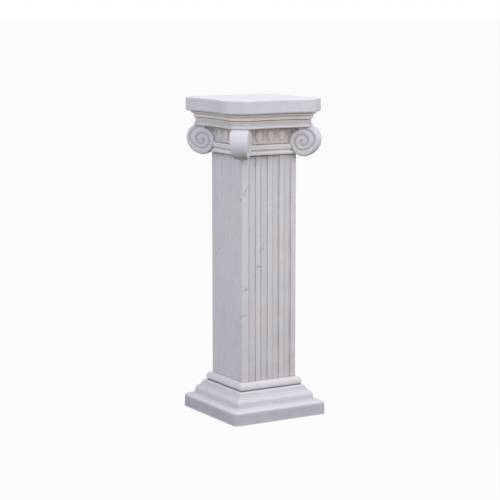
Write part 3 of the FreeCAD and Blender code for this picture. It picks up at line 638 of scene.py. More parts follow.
def cast_tree() -> Tree:
    """The tree that gives a smooth form the skin of a hand-finished casting.

    Returns:
        The tree: low waves, tool marks and sparse dents, which it marks as "dent".
    """
    tree, (shape, wave, ripple, dents, dent_size, dent_depth, seed, material) = geometry_tree(
        "cast_surface", "wave", "ripple", "dents", "dent_size", "dent_depth", "seed", "material")
    place = tree.out("GeometryNodeInputPosition")
    moved = tree.out("ShaderNodeVectorMath", {0: place, 1: tree.vector(seed * 0.37)}, operation="ADD")
    waves = (tree.noise(moved, 16.0, 1.0) - 0.5) * wave * 2.0
    ripples = (tree.noise(moved, 70.0, 2.0) - 0.5) * ripple * 2.0
    points = tree.out("GeometryNodeDistributePointsOnFaces", {"Mesh": shape, "Density": dents, "Seed": seed},
                      "Points")
    away = tree.out("GeometryNodeProximity", {0: points}, "Distance", target_element="POINTS")
    uneven = away * (tree.noise(moved, 130.0, 1.0) * 1.6 + 0.2)
    number = tree.out("GeometryNodeAttributeDomainSize", {0: points}, "Point Count", component="POINTCLOUD")
    dent = tree.spread(uneven, 0.0, dent_size, 1.0, 0.0) * number.least(1.0)
    normal = tree.out("GeometryNodeInputNormal")
    shift = tree.out("ShaderNodeVectorMath", {0: normal, "Scale": waves + ripples - dent * dent_depth},
                     operation="SCALE")
    marked = tree.marked(shape, "dent", dent)
    return tree.finish(tree.out("GeometryNodeSetPosition", {"Geometry": marked, "Offset": shift}), material)


def shaft_tree() -> Tree:
    """The tree that makes the fluted shaft by rule from a bare grid.

    The grid runs once round the shaft and, the other way, up the outside, over the top, down the bore and
    back under the foot. Each side holds a margin, four flutes and a margin.

    Returns:
        The tree.
    """
    tree, (_, half, corner, pitch, wall_depth, dish_depth, wander, bottom, top, bore, material) = geometry_tree(
        "fluted_shaft", "half_width", "corner_round", "flute_pitch", "wall_depth", "dish_depth", "wander",
        "bottom", "top", "bore_radius", "material")
    per_side, margin, module = 100, 10, 20
    rise, lid, down = 196, 3, 10
    rows = rise + lid + down + lid
    grid = tree.out("GeometryNodeMeshGrid", {"Size X": 1.0, "Size Y": 1.0, "Vertices X": per_side * 4 + 1,
                                             "Vertices Y": rows + 1})
    spot = tree.add("ShaderNodeSeparateXYZ", {0: tree.out("GeometryNodeInputPosition")})
    column, row = (((Wire(tree, spot.outputs[axis]) + 0.5) * steps).op("ROUND")
                   for axis, steps in enumerate((per_side * 4, rows)))
    side = (column / per_side).op("FLOOR")
    step = column - side * per_side
    share = (row / rise).unit().least(1.0 - ((row - (rise + lid)) / down).unit())
    height = share * (top - bottom) + bottom
    inward = ((row - rise) / lid).unit() - ((row - (rise + lid + down)) / lid).unit()
    # across a side: a margin, four flute modules and a margin, counted from the nearer edge
    from_edge = step.least(per_side - step)
    count = ((from_edge - margin) / module).most(0.0)
    whole = (count + 0.0001).op("FLOOR")
    part = (count - whole).most(0.0)
    spaced = tree.curve(part, (0.0, 0.0), (0.15, 0.14), (0.2, 0.166), (0.3, 0.182), (0.35, 0.2), (0.4, 0.25),
                        (0.5, 0.5), (0.6, 0.75), (0.65, 0.8), (0.7, 0.818), (0.8, 0.834), (0.85, 0.86), (1.0, 1.0))
    wall = tree.curve(part, (0.0, 0.0), (0.15, 0.0), (0.2, 0.05), (0.25, 0.45), (0.3, 0.92), (0.35, 1.0),
                      (0.65, 1.0), (0.7, 0.92), (0.75, 0.45), (0.8, 0.05), (0.85, 0.0), (1.0, 0.0))
    dish = (1.0 - ((spaced - 0.5) / 0.31) ** 2.0).most(0.0)
    inner = (whole + spaced) * pitch
    outer = from_edge.least(margin) / margin * (half - pitch * 2.0)
    edge = half - (inner + outer)
    way = (step - (per_side / 2 - 0.5)).op("SIGN")
    # slow wander of the flutes' edges, and uneven depth, as in a hand-made mould
    at = tree.vector(edge * way * 30.0, side * 7.3, height * 9.0)
    drift = (tree.noise(at, 1.0, 2.0) - 0.5) * 2.0 * wander
    deep = (tree.noise(at, 0.55, 2.0) - 0.5) * 0.9 + 1.0
    depth = (wall * wall_depth + dish * wall * dish_depth) * deep
    flat = half - corner
    over = ((edge - flat) / corner).most(0.0) * (math.pi / 4)
    straight = edge.least(over.op("SINE") * corner + flat) * way + drift * wall.op("GREATER_THAN", 0.001)
    out = half - depth - corner * (1.0 - over.op("COSINE"))
    ratio = bore / (straight**2.0 + out**2.0).op("SQRT")
    skin = tree.vector(straight, out * -1.0, height)
    core = tree.vector(straight * ratio, out * ratio * -1.0, height)
    mixed = tree.out("ShaderNodeMix", {0: inward, 4: skin, 5: core}, 1, data_type="VECTOR")
    bent = tree.out("ShaderNodeVectorRotate", {"Vector": mixed, "Angle": side * QUARTER},
                    rotation_type="Z_AXIS")
    hollow = tree.curve(part, (0.0, 0.0), (0.2, 0.0), (0.25, 0.5), (0.3, 1.0), (0.35, 1.0), (0.4, 0.62),
                        (0.45, 0.06), (0.5, 0.03), (0.55, 0.06), (0.6, 0.3), (0.65, 0.8), (0.7, 1.0), (0.75, 0.5),
                        (0.8, 0.0), (1.0, 0.0))
    # the left side has lost most of its lines; they are stronger low down; the shaft is darkened towards its foot
    # as a painted shade; the top has a stained joint and a painted shadow under the collar
    faded = side.op("COMPARE", float(Side.left.value), 0.5)
    hollow = hollow * (faded * -0.8 + 1.0) * (share * -0.5 + 1.3)
    foot = (1.0 - share) ** 2.5 * 0.28
    head_joint_and_shadow = ((1.0 - share) * -75.0).op("EXPONENT") * 1.6
    proud = tree.curve(part, (0.0, 0.1), (0.1, 0.2), (0.17, 1.0), (0.22, 0.3), (0.3, 0.0), (0.7, 0.0),
                       (0.78, 0.3), (0.83, 1.0), (0.9, 0.2), (1.0, 0.1))
    body = tree.marked(grid, "wash", hollow.most(foot.most(head_joint_and_shadow)))
    body = tree.marked(body, "wear", proud.most(over))
    body = tree.out("GeometryNodeSetPosition", {"Geometry": body, "Position": bent})
    body = tree.out("GeometryNodeMergeByDistance", {"Geometry": body, "Distance": 0.00002})
    return tree.finish(body, material)


def relief_tree() -> Tree:
    """The tree that sets three eggs and four darts along a backing strip, turned to its face.

    Returns:
        The tree.
    """
    tree, (strip, egg, dart, pitch, height, face, turn, material) = geometry_tree(
        "egg_and_dart", "egg", "dart", "pitch", "height", "face", "turn", "material")
    row = tree.add("GeometryNodeJoinGeometry")
    for unit_shape, number in ((egg, 3), (dart, 4)):
        begin = tree.vector(pitch * ((1 - number) / 2), face * -1.0, height)
        line = tree.out("GeometryNodeMeshLine", {"Count": number, "Start Location": begin,
                                                 "Offset": tree.vector(pitch)})
        shape = tree.out("GeometryNodeObjectInfo", {"Object": unit_shape}, "Geometry")
        size = tree.out("FunctionNodeRandomValue", {2: 0.97, 3: 1.03, "Seed": 7}, 1, data_type="FLOAT")
        tree.feed(row, {0: tree.out("GeometryNodeInstanceOnPoints", {"Points": line, "Instance": shape,
                                                                     "Scale": size})})
    both = tree.add("GeometryNodeJoinGeometry")
    tree.feed(both, {0: tree.out("GeometryNodeTransform", {"Geometry": row.outputs[0],
                                                           "Rotation": tree.vector(0.0, 0.0, turn)})})
    tree.feed(both, {0: strip})
    return tree.finish(Wire(tree, both.outputs[0]), material)


TREES = {"cast": cast_tree(), "shaft": shaft_tree(), "relief": relief_tree()}


# ---------------------------------------------------------------------------------------------
# Finishes
# ---------------------------------------------------------------------------------------------


def grain_group() -> bpy.types.NodeTree:
    """The shared group of grain: a height, slow clouds and pinholes.

    Returns:
        The group.
    """
    tree, (fineness, pinholes) = started("mineral_grain", "ShaderNodeTree", ("Fineness", "Pinholes"),
                                         ("Height", "Clouds", "Pinholes"))
    place = tree.out("ShaderNodeTexCoord", output="Object")
    broad = tree.noise(place, 34.0, 4.0, 0.6)
    cells = tree.add("ShaderNodeTexVoronoi", {"Vector": place, "Scale": 125.0, "Randomness": 1.0})
    rare = tree.out("ShaderNodeSeparateColor", {0: cells.outputs["Color"]})
    hole = tree.spread(cells.outputs["Distance"], 0.08, 0.22, 1.0, 0.0) * rare.op("LESS_THAN", pinholes)
    height = broad * 0.8 + tree.noise(place, fineness, 5.0, 0.6) - hole * 2.0
    tree.add("NodeGroupOutput", {"Height": height, "Clouds": broad, "Pinholes": hole})
    return tree.nodes


def ageing_and_light_group() -> bpy.types.NodeTree:
    """The shared group of ageing and painted light, from the pieces' own marks: limewash left in hollows, pale
    worn edges, and the painted shade and highlights that some pieces carry in the same marks.

    Returns:
        The group.
    """
    tree, (coat, warm, wash, rubbed_and_lit, wash_and_shade_strength, rub_and_highlight_strength, blotches, clouds, pinholes) = started(
        "wash_and_rub", "ShaderNodeTree",
        ("Coat", "Warm", "Wash", "Rubbed", "Wash strength", "Rub strength", "Blotches", "Clouds", "Pinholes"),
        ("Color", "Mask"))
    place = tree.out("ShaderNodeTexCoord", output="Object")
    # the hollow mark also carries painted shade, and the proud mark painted highlights; both are mixed in here as
    # colour
    hollow, proud, dent = (tree.out("ShaderNodeAttribute", output="Fac", attribute_name=name)
                           for name in ("wash", "wear", "dent"))
    patchy = tree.spread(tree.noise(place, 16.0, 4.0, 0.6), 0.32, 0.66, 0.6, 1.0)
    broken = tree.spread(tree.noise(place, 190.0, 3.0, 0.6), 0.3, 0.7, 0.8, 1.0)
    mask = (hollow * patchy * broken * wash_and_shade_strength).most(pinholes * 0.7)
    mask = mask.most(tree.spread(tree.noise(place, 330.0, 2.0) * 0.6 + dent, 0.5, 1.2, 0.0, 0.5))
    upright = tree.out("ShaderNodeMapping", {"Vector": place, "Scale": (1.0, 1.0, 0.12)})
    runs = tree.spread(tree.noise(upright, 95.0, 3.0, 0.6), 0.5, 0.78)
    mask = mask.most(runs * patchy * blotches).unit()
    slow = tree.out("ShaderNodeMapping", {"Vector": place, "Scale": (1.0, 1.0, 0.45)})
    warmth = tree.spread(tree.noise(slow, 17.0), 0.42, 0.62, 0.0, 0.7)
    tone = tree.mix(tree.spread(clouds, 0.3, 0.7, 0.0, 0.07), tree.mix(warmth, coat, warm), wash)
    rub_and_highlight = (proud * rub_and_highlight_strength * broken).unit()
    color = tree.mix(rub_and_highlight, tree.mix(mask, tone, wash), rubbed_and_lit)
    tree.add("NodeGroupOutput", {"Color": color, "Mask": mask})
    return tree.nodes


GRAIN, AGEING_AND_LIGHT = grain_group(), ageing_and_light_group()


@dataclass(frozen=True)
class Finish:
    """A finish, painted into a material once."""

    name: str

    def material(self) -> bpy.types.Material:
        """Builds the material, or gives the one built before.

        Returns:
            The material.
        """
        made = bpy.data.materials.get(self.name)
        if made is None:
            made = bpy.data.materials.new(self.name)
            made.use_nodes = True
            tree = Tree(made.node_tree)
            tree.feed(made.node_tree.nodes["Principled BSDF"], self.painted(tree))
        return made

    def painted(self, tree: Tree) -> dict[str, object]:
        """What feeds the shader."""
        raise NotImplementedError


@dataclass(frozen=True)
class MineralFinish(Finish):
    """A matt mineral finish: limewashed stone, mortar or rubber, by its colours and grain."""

    coat: Colour
    wash: Colour
    rubbed_and_lit: Colour
    roughness: float = 0.82
    wash_and_shade_strength: float = 1.0
    rub_and_highlight_strength: float = 0.45
    blotches: float = 0.2
    fineness: float = 420.0
    pinholes: float = 0.06
    relief: float = 0.00022
    warmth: Colour = (1.02, 0.985, 0.955)

    def painted(self, tree: Tree) -> dict[str, object]:
        """Paints the finish.

        Args:
            tree: Writer of the material's tree.

        Returns:
            What feeds the shader.
        """
        grain = tree.add("ShaderNodeGroup", {"Fineness": self.fineness, "Pinholes": self.pinholes},
                         node_tree=GRAIN).outputs
        warm = [part * shift for part, shift in zip(self.coat, self.warmth)]
        aged = tree.add("ShaderNodeGroup", {
            "Coat": (*self.coat, 1.0), "Warm": (*warm, 1.0), "Wash": (*self.wash, 1.0),
            "Rubbed": (*self.rubbed_and_lit, 1.0), "Wash strength": self.wash_and_shade_strength,
            "Rub strength": self.rub_and_highlight_strength, "Blotches": self.blotches, "Clouds": grain["Clouds"],
            "Pinholes": grain["Pinholes"]}, node_tree=AGEING_AND_LIGHT).outputs
        rough = tree.spread(Wire(tree, aged["Mask"]) + grain["Clouds"], 0.2, 1.4, self.roughness - 0.08,
                            self.roughness + 0.1)
        bump = tree.out("ShaderNodeBump", {"Strength": 0.6, "Distance": self.relief, "Height": grain["Height"]})
        return {"Base Color": aged["Color"], "Roughness": rough, "Normal": bump, "Specular IOR Level": 0.3}


@dataclass(frozen=True)
class SteelFinish(Finish):
    """Zinc-plated steel with spangle and scuffs."""

    name: str = "zinc_plated_steel"
    bright: Colour = (0.66, 0.67, 0.68)
    dull: Colour = (0.36, 0.37, 0.38)

    def painted(self, tree: Tree) -> dict[str, object]:
        """Paints the finish.

        Args:
            tree: Writer of the material's tree.

        Returns:
            What feeds the shader.
        """
        grain = tree.add("ShaderNodeGroup", {"Fineness": 900.0, "Pinholes": 0.03}, node_tree=GRAIN).outputs
        tone = tree.mix(tree.spread(grain["Clouds"], 0.35, 0.65), (*self.bright, 1.0), (*self.dull, 1.0))
        bump = tree.out("ShaderNodeBump", {"Strength": 0.3, "Distance": 0.0001, "Height": grain["Height"]})
        return {"Base Color": tone, "Roughness": tree.spread(grain["Clouds"], 0.3, 0.7, 0.3, 0.5),
                "Normal": bump, "Metallic": 1.0}


BROWN = (0.23, 0.165, 0.14)
UMBER = (0.25, 0.185, 0.165)
PALE = (0.83, 0.82, 0.87)
LIMEWASH = MineralFinish("limewashed_stone", (0.695, 0.67, 0.675), BROWN, PALE, blotches=0.1)
SHAFT_WASH = MineralFinish("limewashed_shaft", (0.72, 0.695, 0.745), (0.27, 0.195, 0.18), PALE,
                           wash_and_shade_strength=0.62, blotches=0.05, pinholes=0.015)
# the base's bluish dark colour also paints the shade on the plinth's sides
BASE_WASH = MineralFinish("limewashed_base", (0.685, 0.67, 0.725), (0.30, 0.285, 0.365), (0.79, 0.785, 0.835),
                          wash_and_shade_strength=0.75, rub_and_highlight_strength=0.75, blotches=0.03, pinholes=0.02)
# the scroll's dark colour here also paints the shade under the tongue, and its bluish pale colour the highlight on
# the tongue's top
VOLUTE_WASH = MineralFinish("limewashed_scroll", (0.71, 0.665, 0.70), (0.25, 0.185, 0.155), (0.75, 0.75, 0.835),
                            wash_and_shade_strength=0.29, rub_and_highlight_strength=0.9, blotches=0.03, pinholes=0.02)
SLAB_WASH = MineralFinish("limewashed_slab", (0.69, 0.683, 0.742), BROWN, (0.79, 0.78, 0.83),
                          wash_and_shade_strength=0.6, blotches=0.03, pinholes=0.0)
# painted light and shade: the cornice has a light coat, lifting it under the slab, made warm for the brown of its
# shaded side
CORNICE_LIT_WARM_WASH = MineralFinish("limewashed_cornice", (0.83, 0.745, 0.715), (0.27, 0.2, 0.165), (0.76, 0.74, 0.75),
                             wash_and_shade_strength=0.8)
FRIEZE_WASH = MineralFinish("limewashed_relief", (0.76, 0.715, 0.695), (0.28, 0.21, 0.18), (0.80, 0.76, 0.75),
                            wash_and_shade_strength=0.42)
# painted light: the collar has a light coat and strong pale edges, so that it reads as brightly lit
COLLAR_LIT_WASH = MineralFinish("limewashed_collar", (0.775, 0.73, 0.76), UMBER, (0.86, 0.84, 0.88),
                            wash_and_shade_strength=0.75, rub_and_highlight_strength=0.8, blotches=0.04)
FOOT_WASH = MineralFinish("limewashed_foot", (0.76, 0.72, 0.78), UMBER, (0.80, 0.78, 0.83),
                          wash_and_shade_strength=0.75, blotches=0.04, pinholes=0.02)
PALE_BED = MineralFinish("pale_setting_bed", (0.6, 0.57, 0.58), BROWN, PALE, blotches=0.3)
BEDDING = MineralFinish("setting_bed_mortar", (0.3, 0.235, 0.21), (0.17, 0.125, 0.105), (0.3, 0.25, 0.22),
                        rub_and_highlight_strength=0.0, blotches=0.6)
RUBBER = MineralFinish("grey_foot_rubber", (0.05, 0.05, 0.052), (0.03, 0.03, 0.03), (0.09, 0.09, 0.09),
                       roughness=0.7, pinholes=0.0, relief=0.0001)
STEEL = SteelFinish()


# ---------------------------------------------------------------------------------------------
# Castings
# ---------------------------------------------------------------------------------------------


@dataclass
class Casting:
    """A stone casting of the stand: one piece that stands for one node of the frame.

    A chip is given by its place, radius, depth and how much taller than wide it is.
    """

    node: str
    finish: Finish = LIMEWASH
    wave: float = 0.00035
    ripple: float = 0.00012
    dents: float = 22.0
    dent_size: float = 0.0026
    dent_depth: float = 0.0007
    seed: int = 1
    chips: tuple[tuple[float, ...], ...] = ()

    def chip(self, mesh: bpy.types.Mesh) -> None:
        """Knocks the listed chips into the mesh and marks them.

        Args:
            mesh: The piece's mesh.
        """
        count = len(mesh.vertices)
        places, normals, marks = np.zeros(count * 3), np.zeros(count * 3), np.zeros(count)
        mesh.vertices.foreach_get("co", places)
        mesh.vertices.foreach_get("normal", normals)
        mesh.attributes["dent"].data.foreach_get("value", marks)
        places, normals = places.reshape(-1, 3) / MM, normals.reshape(-1, 3)
        for x, y, z, radius, depth, tall in self.chips:
            away = (places - (x, y, z)) / (1.0, 1.0, tall)
            share = np.clip(1.0 - np.linalg.norm(away, axis=1) / radius, 0.0, 1.0)
            places -= normals * (depth * np.sqrt(share))[:, None]
            marks = np.maximum(marks, np.clip(share * 1.8, 0.0, 0.85))
        mesh.vertices.foreach_set("co", (places * MM).ravel())
        mesh.attributes["dent"].data.foreach_set("value", marks)
        mesh.update()

    def dress(self, piece: bpy.types.Object) -> bpy.types.Object:
        """Gives the piece its cast skin, finish, body and node.

        Args:
            piece: The piece's mesh object.

        Returns:
            The same object.
        """
        piece.data.materials.clear()
        grown(piece, TREES["cast"], wave=self.wave, ripple=self.ripple, dents=self.dents,
              dent_size=self.dent_size, dent_depth=self.dent_depth, seed=self.seed,
              material=self.finish.material())
        self.chip(piece.data)
        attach(piece, "root")
        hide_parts(self.node)
        log.info("%s: %d faces, %s", piece.name, len(piece.data.polygons), self.finish.name)
        return piece


@dataclass
class Base(Casting):
    """Plinth, cove, fillet and hollow moulding, cast in one, hollow below with a hole for the rod."""

    node: str = "base_plinth"
    finish: Finish = BASE_WASH
    seed: int = 3
    chips: tuple[tuple[float, ...], ...] = ((-95.5, 36.0, 71.0, 5.0, 1.6, 0.8),)
    foot: float = 1.0
    top: float = 74.5
    pocket_half: float = 29.0
    pocket_round: float = 2.0
    pocket_top: float = 30.0
    rod_hole: float = 8.0
    uneven_from: float = 112.0
    # top of the painted shade on the plinth's sides
    low_shade_top: float = 31.5

    def build(self) -> bpy.types.Object:
        """Lofts the base.

        Returns:
            The base.
        """
        skin = Skin()
        for (half, level), wash, wear in zip(*PLINTH.traced()):
            corner = 3.5 + 3.0 * unit((half - 95.0) / 37.0)
            stain = 0.5 * math.exp(-max(self.top - level, 0.0))
            # painted shade: the plinth's sides are darkened towards the floor
            low_shade = 0.62 * unit((self.low_shade_top - level) / 4.0)
            plan = ring(Plan.SQUARE, half, corner, PLINTH_CORNERS if half > self.uneven_from else EVEN)
            skin.add(plan, level, unit(0.6 * wash + stain + low_shade), wear)
        hole = ring(Plan.ROUND, self.rod_hole)
        pocket = ring(Plan.SQUARE, self.pocket_half, self.pocket_round)
        skin.reach(hole, self.top, 8)
        skin.reach(hole, self.pocket_top, 5)
        skin.reach(pocket, self.pocket_top, 3)
        skin.reach(pocket, self.foot, 4)
        skin.close(9)
        return self.dress(skin.build(self.node))


@dataclass
class CoredMoulding(Casting):
    """A moulding on the shaft's line, with the core bore through it."""

    section: Section = TORUS
    corner: float = 4.0
    bore: float = 35.0
    head_stain: float = 0.0

    def build(self) -> bpy.types.Object:
        """Lofts the moulding.

        Returns:
            The moulding.
        """
        skin = Skin()
        line, hollow, proud = self.section.traced()
        low, high = line[0, 1], line[-1, 1]
        for (half, level), wash, wear in zip(line, hollow, proud):
            stain = 0.9 * math.exp(-(level - low) / 1.3) + self.head_stain * math.exp(-(high - level) / 1.4)
            skin.add(ring(Plan.SQUARE, half, self.corner), level, unit(wash + stain), wear)
        skin.reach(ring(Plan.ROUND, self.bore), high, 5)
        skin.reach(ring(Plan.ROUND, self.bore), low, 3)
        skin.close(5)
        return self.dress(skin.build(self.node))


@dataclass
class Shaft(Casting):
    """The fluted shaft, made by rule, with the knocks of its age."""

    node: str = "shaft"
    finish: Finish = SHAFT_WASH
    seed: int = 11
    dents: float = 12.0
    half_width: float = 0.0789
    corner_round: float = 0.008
    flute_pitch: float = 0.034
    wall_depth: float = 0.0024
    dish_depth: float = 0.0016
    wander: float = 0.0006
    bottom: float = 0.095
    top: float = 0.6605
    bore_radius: float = 0.035
    chips: tuple[tuple[float, ...], ...] = (
        (-63.5, -79.0, 586.0, 3.4, 0.6, 1.8), (-69.5, -79.0, 577.0, 3.6, 0.7, 1.5),
        (-75.5, -78.0, 567.0, 5.0, 1.3, 1.2), (-78.5, -66.0, 553.0, 5.5, 1.1, 1.0),
        (-79.0, 44.4, 417.0, 9.0, 0.9, 0.8), (-79.0, 56.0, 404.0, 7.0, 0.8, 0.7),
        (-15.5, -77.0, 439.0, 4.6, 1.2, 1.9), (-18.5, -77.0, 428.0, 4.8, 1.4, 1.9),
        (-33.0, -77.0, 384.0, 8.0, 1.5, 0.6), (-24.0, -77.0, 383.0, 6.0, 1.0, 0.6),
        (-71.0, -78.0, 328.0, 7.5, 1.0, 0.7), (-65.0, -78.0, 332.0, 5.0, 0.7, 0.8),
        (-74.0, -78.0, 263.0, 8.5, 1.2, 0.5), (-78.5, -66.0, 261.0, 7.5, 0.8, 0.5),
        (59.0, -77.0, 433.0, 4.0, 1.0, 5.0))

    def build(self) -> bpy.types.Object:
        """Grows the shaft from its tree.

        Returns:
            The shaft.
        """
        piece = placed(self.node, bpy.data.meshes.new(self.node))
        grown(piece, TREES["shaft"], half_width=self.half_width, corner_round=self.corner_round,
              flute_pitch=self.flute_pitch, wall_depth=self.wall_depth, dish_depth=self.dish_depth,
              wander=self.wander, bottom=self.bottom, top=self.top, bore_radius=self.bore_radius,
              material=self.finish.material())
        return self.dress(piece)


@dataclass
class Bell(Casting):
    """Frieze block and ribbon, with the pocket for the upper tie plate."""

    node: str = "capital_bell"
    seed: int = 21
    block_half: float = 76.0
    flare: float = 6.0
    bottom: float = 689.0
    underside: float = 729.5
    top: float = 748.5
    pocket_half: float = 27.0
    pocket_depth: float = 12.5
    rod_hole: float = 8.0

    def build(self) -> bpy.types.Object:
        """Lofts the block, then the ribbon over it.

        Returns:
            The capital's body.
        """
        skin = Skin()
        for level in np.linspace(self.bottom, self.underside, 14):
            half = self.block_half + self.flare * math.exp(-(level - self.bottom) / 2.2)
            # painted shade: the block's face darkens just under the ribbon's overhang
            shade = 0.8 * math.exp(-(self.underside - level) / 3.0)
            skin.add(ring(Plan.SQUARE, half, 3.0), level, max(shade, 0.1))
        line, hollow, proud = RIBBON.traced()
        skin.reach(RIBBON_PLAN.at(line[0, 0]), self.underside, 6)
        # painted shade on the ribbon's underside, darkest where it meets the block
        skin.wash[-7:] = [0.9, 0.7, 0.5, 0.4, 0.3, 0.2, 0.0]
        for (half, level), wash, wear in zip(line[1:], hollow[1:], proud[1:]):
            lip = 0.7 * math.exp(-(self.top - level) / 1.2)
            skin.add(RIBBON_PLAN.at(half), level, unit(wash * 0.35 + lip), wear)
        pocket, hole = ring(Plan.SQUARE, self.pocket_half, 1.5), ring(Plan.ROUND, self.rod_hole)
        skin.reach(pocket, self.top, 8)
        skin.reach(pocket, self.top - self.pocket_depth, 2)
        skin.reach(hole, self.top - self.pocket_depth, 3)
        skin.reach(hole, self.bottom, 6)
        skin.close(6)
        return self.dress(skin.build(self.node))


@dataclass
class Cornice(Casting):
    """Bead and band under the slab."""

    node: str = "cornice"
    finish: Finish = CORNICE_LIT_WARM_WASH
    seed: int = 31
    bore: float = 32.0
    band_foot: float = 757.5

    def build(self) -> bpy.types.Object:
        """Lofts the cornice.

        Returns:
            The cornice.
        """
        skin = Skin()
        line, hollow, proud = BEADS.traced()
        low, high = line[0, 1], line[-1, 1]
        for (half, level), wash, wear in zip(line, hollow, proud):
            stain = 0.6 * math.exp(-min(level - low, high - level))
            # painted shade: the band just under the slab's edge is kept a little darker
            band = 0.16 if level > self.band_foot else 0.0
            skin.add(CORNICE_PLAN.at(half), level, unit(wash * 0.6 + stain + band), wear * 0.8)
        skin.reach(ring(Plan.ROUND, self.bore), high, 7)
        skin.reach(ring(Plan.ROUND, self.bore), low, 3)
        skin.close(7)
        return self.dress(skin.build(self.node))


@dataclass
class Slab(Casting):
    """The thick top slab, a little wider at its lower edge."""

    node: str = "abacus_slab"
    finish: Finish = SLAB_WASH
    seed: int = 41
    dents: float = 0.0
    bottom: float = 766.0
    top: float = 799.6
    edge: float = 118.0
    middle: float = 1.2

    def build(self) -> bpy.types.Object:
        """Lofts the slab from the middle of its underside to the middle of its top.

        Returns:
            The slab.
        """
        skin = Skin()
        for half in (self.middle, 12.0, 30.0, 50.0, 70.0, 90.0, 106.0):
            skin.add(self.plan(half), self.bottom)
        line, hollow, proud = SLAB_EDGE.traced()
        for (half, level), wear in zip(line, proud):
            skin.add(self.plan(half), level, unit(0.9 * math.exp(-(level - self.bottom) / 1.6)), wear)
        for half in (*np.linspace(line[-1, 0], 3.5, 34)[1:], self.middle):
            skin.add(self.plan(half), self.top)
        return self.dress(skin.build(self.node))

    def plan(self, half: float) -> np.ndarray:
        """Plan at a half width; inside the edge it shrinks evenly towards the middle."""
        return SLAB_PLAN.at(max(half, self.edge)) * min(half / self.edge, 1.0)


@dataclass
class Frieze(Casting):
    """Four strips of egg-and-dart relief on the block's sides."""

    node: str = "frieze_panel"
    finish: Finish = FRIEZE_WASH
    wave: float = 0.00015
    dents: float = 0.0
    back: float = 76.05
    face: float = 78.0
    low: float = 689.3
    high: float = 728.0
    half_length: float = 65.0
    pitch: float = 33.5
    egg_level: float = 709.8
    egg_wide: float = 10.4
    egg_tall: float = 14.6
    egg_relief: float = 5.4
    first_seed: int = 51

    def build(self) -> list[bpy.types.Object]:
        """Makes the strips.

        Returns:
            The four strips.
        """
        egg, dart = self.egg_unit(), self.dart_unit()
        strips = []
        for side in Side:
            self.node, self.seed = "frieze_panel_" + side.name, self.first_seed + side.value
            strip = self.backing(self.node)
            strip.data.transform(Matrix.Rotation(side.value * QUARTER, 4, "Z"))
            grown(strip, TREES["relief"], egg=egg, dart=dart, pitch=self.pitch * MM, height=self.egg_level * MM,
                  face=(self.face - 0.4) * MM, turn=side.value * QUARTER, material=self.finish.material())
            strips.append(self.dress(strip))
        for helper in (egg, dart):
            bpy.data.objects.remove(helper)
        return strips

    def backing(self, name: str) -> bpy.types.Object:
        """The closed strip behind the relief, with soft edges and a flared foot, along the front.

        Args:
            name: Its name.

        Returns:
            The strip.
        """
        x, z = np.meshgrid(np.linspace(-self.half_length, self.half_length, 55),
                           np.linspace(self.low, self.high, 20))
        edge = np.minimum(self.half_length - np.abs(x), np.minimum(z - self.low, self.high - z))
        swell = 0.35 + 0.65 * np.clip(edge / 2.5, 0, 1) ** 0.6
        front = -(self.back + (self.face - self.back) * swell) - 3.6 * np.exp(-(z - self.low) / 2.0)
        layers = (front, np.full_like(x, -self.back))
        places = np.vstack([np.stack((x, y, z), -1).reshape(-1, 3) for y in layers])
        index = np.arange(x.size).reshape(x.shape)
        quads = np.stack((index[:-1, :-1], index[:-1, 1:], index[1:, 1:], index[1:, :-1]), -1).reshape(-1, 4)
        rim = np.r_[index[0, :-1], index[:-1, -1], index[-1, :0:-1], index[:0:-1, 0]]
        following = np.roll(rim, -1)
        walls = np.stack((rim + x.size, following + x.size, following, rim), -1)
        wash = np.tile(np.clip(0.7 - edge / 9.0, 0.3, 0.7).ravel(), 2)
        faces = np.vstack((quads, quads[:, ::-1] + x.size, walls)).tolist()
        return solid(name, places, faces, wash, wash * 0.0)

    def egg_unit(self) -> bpy.types.Object:
        """An egg in its U-shaped shell, about its own middle, facing the front.

        Returns:
            The egg, as a helper for instances.
        """
        share = np.linspace(0.0, 1.0, 13)[:, None]
        a = (TAU * np.arange(28) / 28)[None, :]
        out = np.sin(QUARTER * share)
        narrow = 1.0 - 0.16 * np.maximum(-np.sin(a), 0.0)
        depth = np.where(share < 1.0, -self.egg_relief * np.cos(QUARTER * share) ** 0.8, 1.0)
        egg = joined(self.egg_wide * narrow * out * np.cos(a), depth, 0.8 + self.egg_tall * out * np.sin(a))
        # the shell: a tube bent round the egg's lower end and up both sides
        along = np.linspace(0.0, 1.0, 41)[:, None]
        a, b = np.radians(160.0 + 220.0 * along), (TAU * np.arange(10) / 10)[None, :]
        thick = 1.5 * np.minimum(1.0, 0.55 + 3.0 * np.minimum(along, 1.0 - along))
        swing = thick * np.cos(b)
        shell = joined((self.egg_wide + 2.6 + swing) * np.cos(a),
                       0.9 - (thick + 0.9) * np.maximum(np.sin(b), -0.35) * 1.15,
                       0.8 + (self.egg_tall + 1.6 + swing) * np.sin(a))
        return relief_unit("egg_unit", (egg, (share - 0.7) / 0.3),
                           (shell, np.where(np.sin(b) > 0.5, 0.15, 0.9)))

    def dart_unit(self) -> bpy.types.Object:
        """A dart between two eggs, widest at its top, about its own middle.

        Returns:
            The dart, as a helper for instances.
        """
        share = np.linspace(0.0, 1.0, 17)[:, None]
        a = (TAU * np.arange(12) / 12)[None, :]
        wide = (1.3 + 1.5 * np.exp(-(((share - 0.12) / 0.16) ** 2))
                + 0.9 * np.exp(-(((share - 0.72) / 0.16) ** 2)))
        wide *= np.minimum(1.0, 6.0 * (1.0 - share) + 0.15) * np.minimum(1.0, 8.0 * share + 0.3)
        deep = np.where(wide > 1.0, 2.9, 2.0)
        dart = joined(wide * np.cos(a), 0.5 - deep * np.maximum(np.sin(a), -0.3), 16.5 - 33.0 * share)
        return relief_unit("dart_unit", (dart, np.where(np.sin(a) > 0.6, 0.1, 0.85)))


def joined(x: np.ndarray, y: np.ndarray, z: np.ndarray) -> np.ndarray:
    """A grid of places from its three coordinates."""
    return np.stack(np.broadcast_arrays(x, y, z), -1)


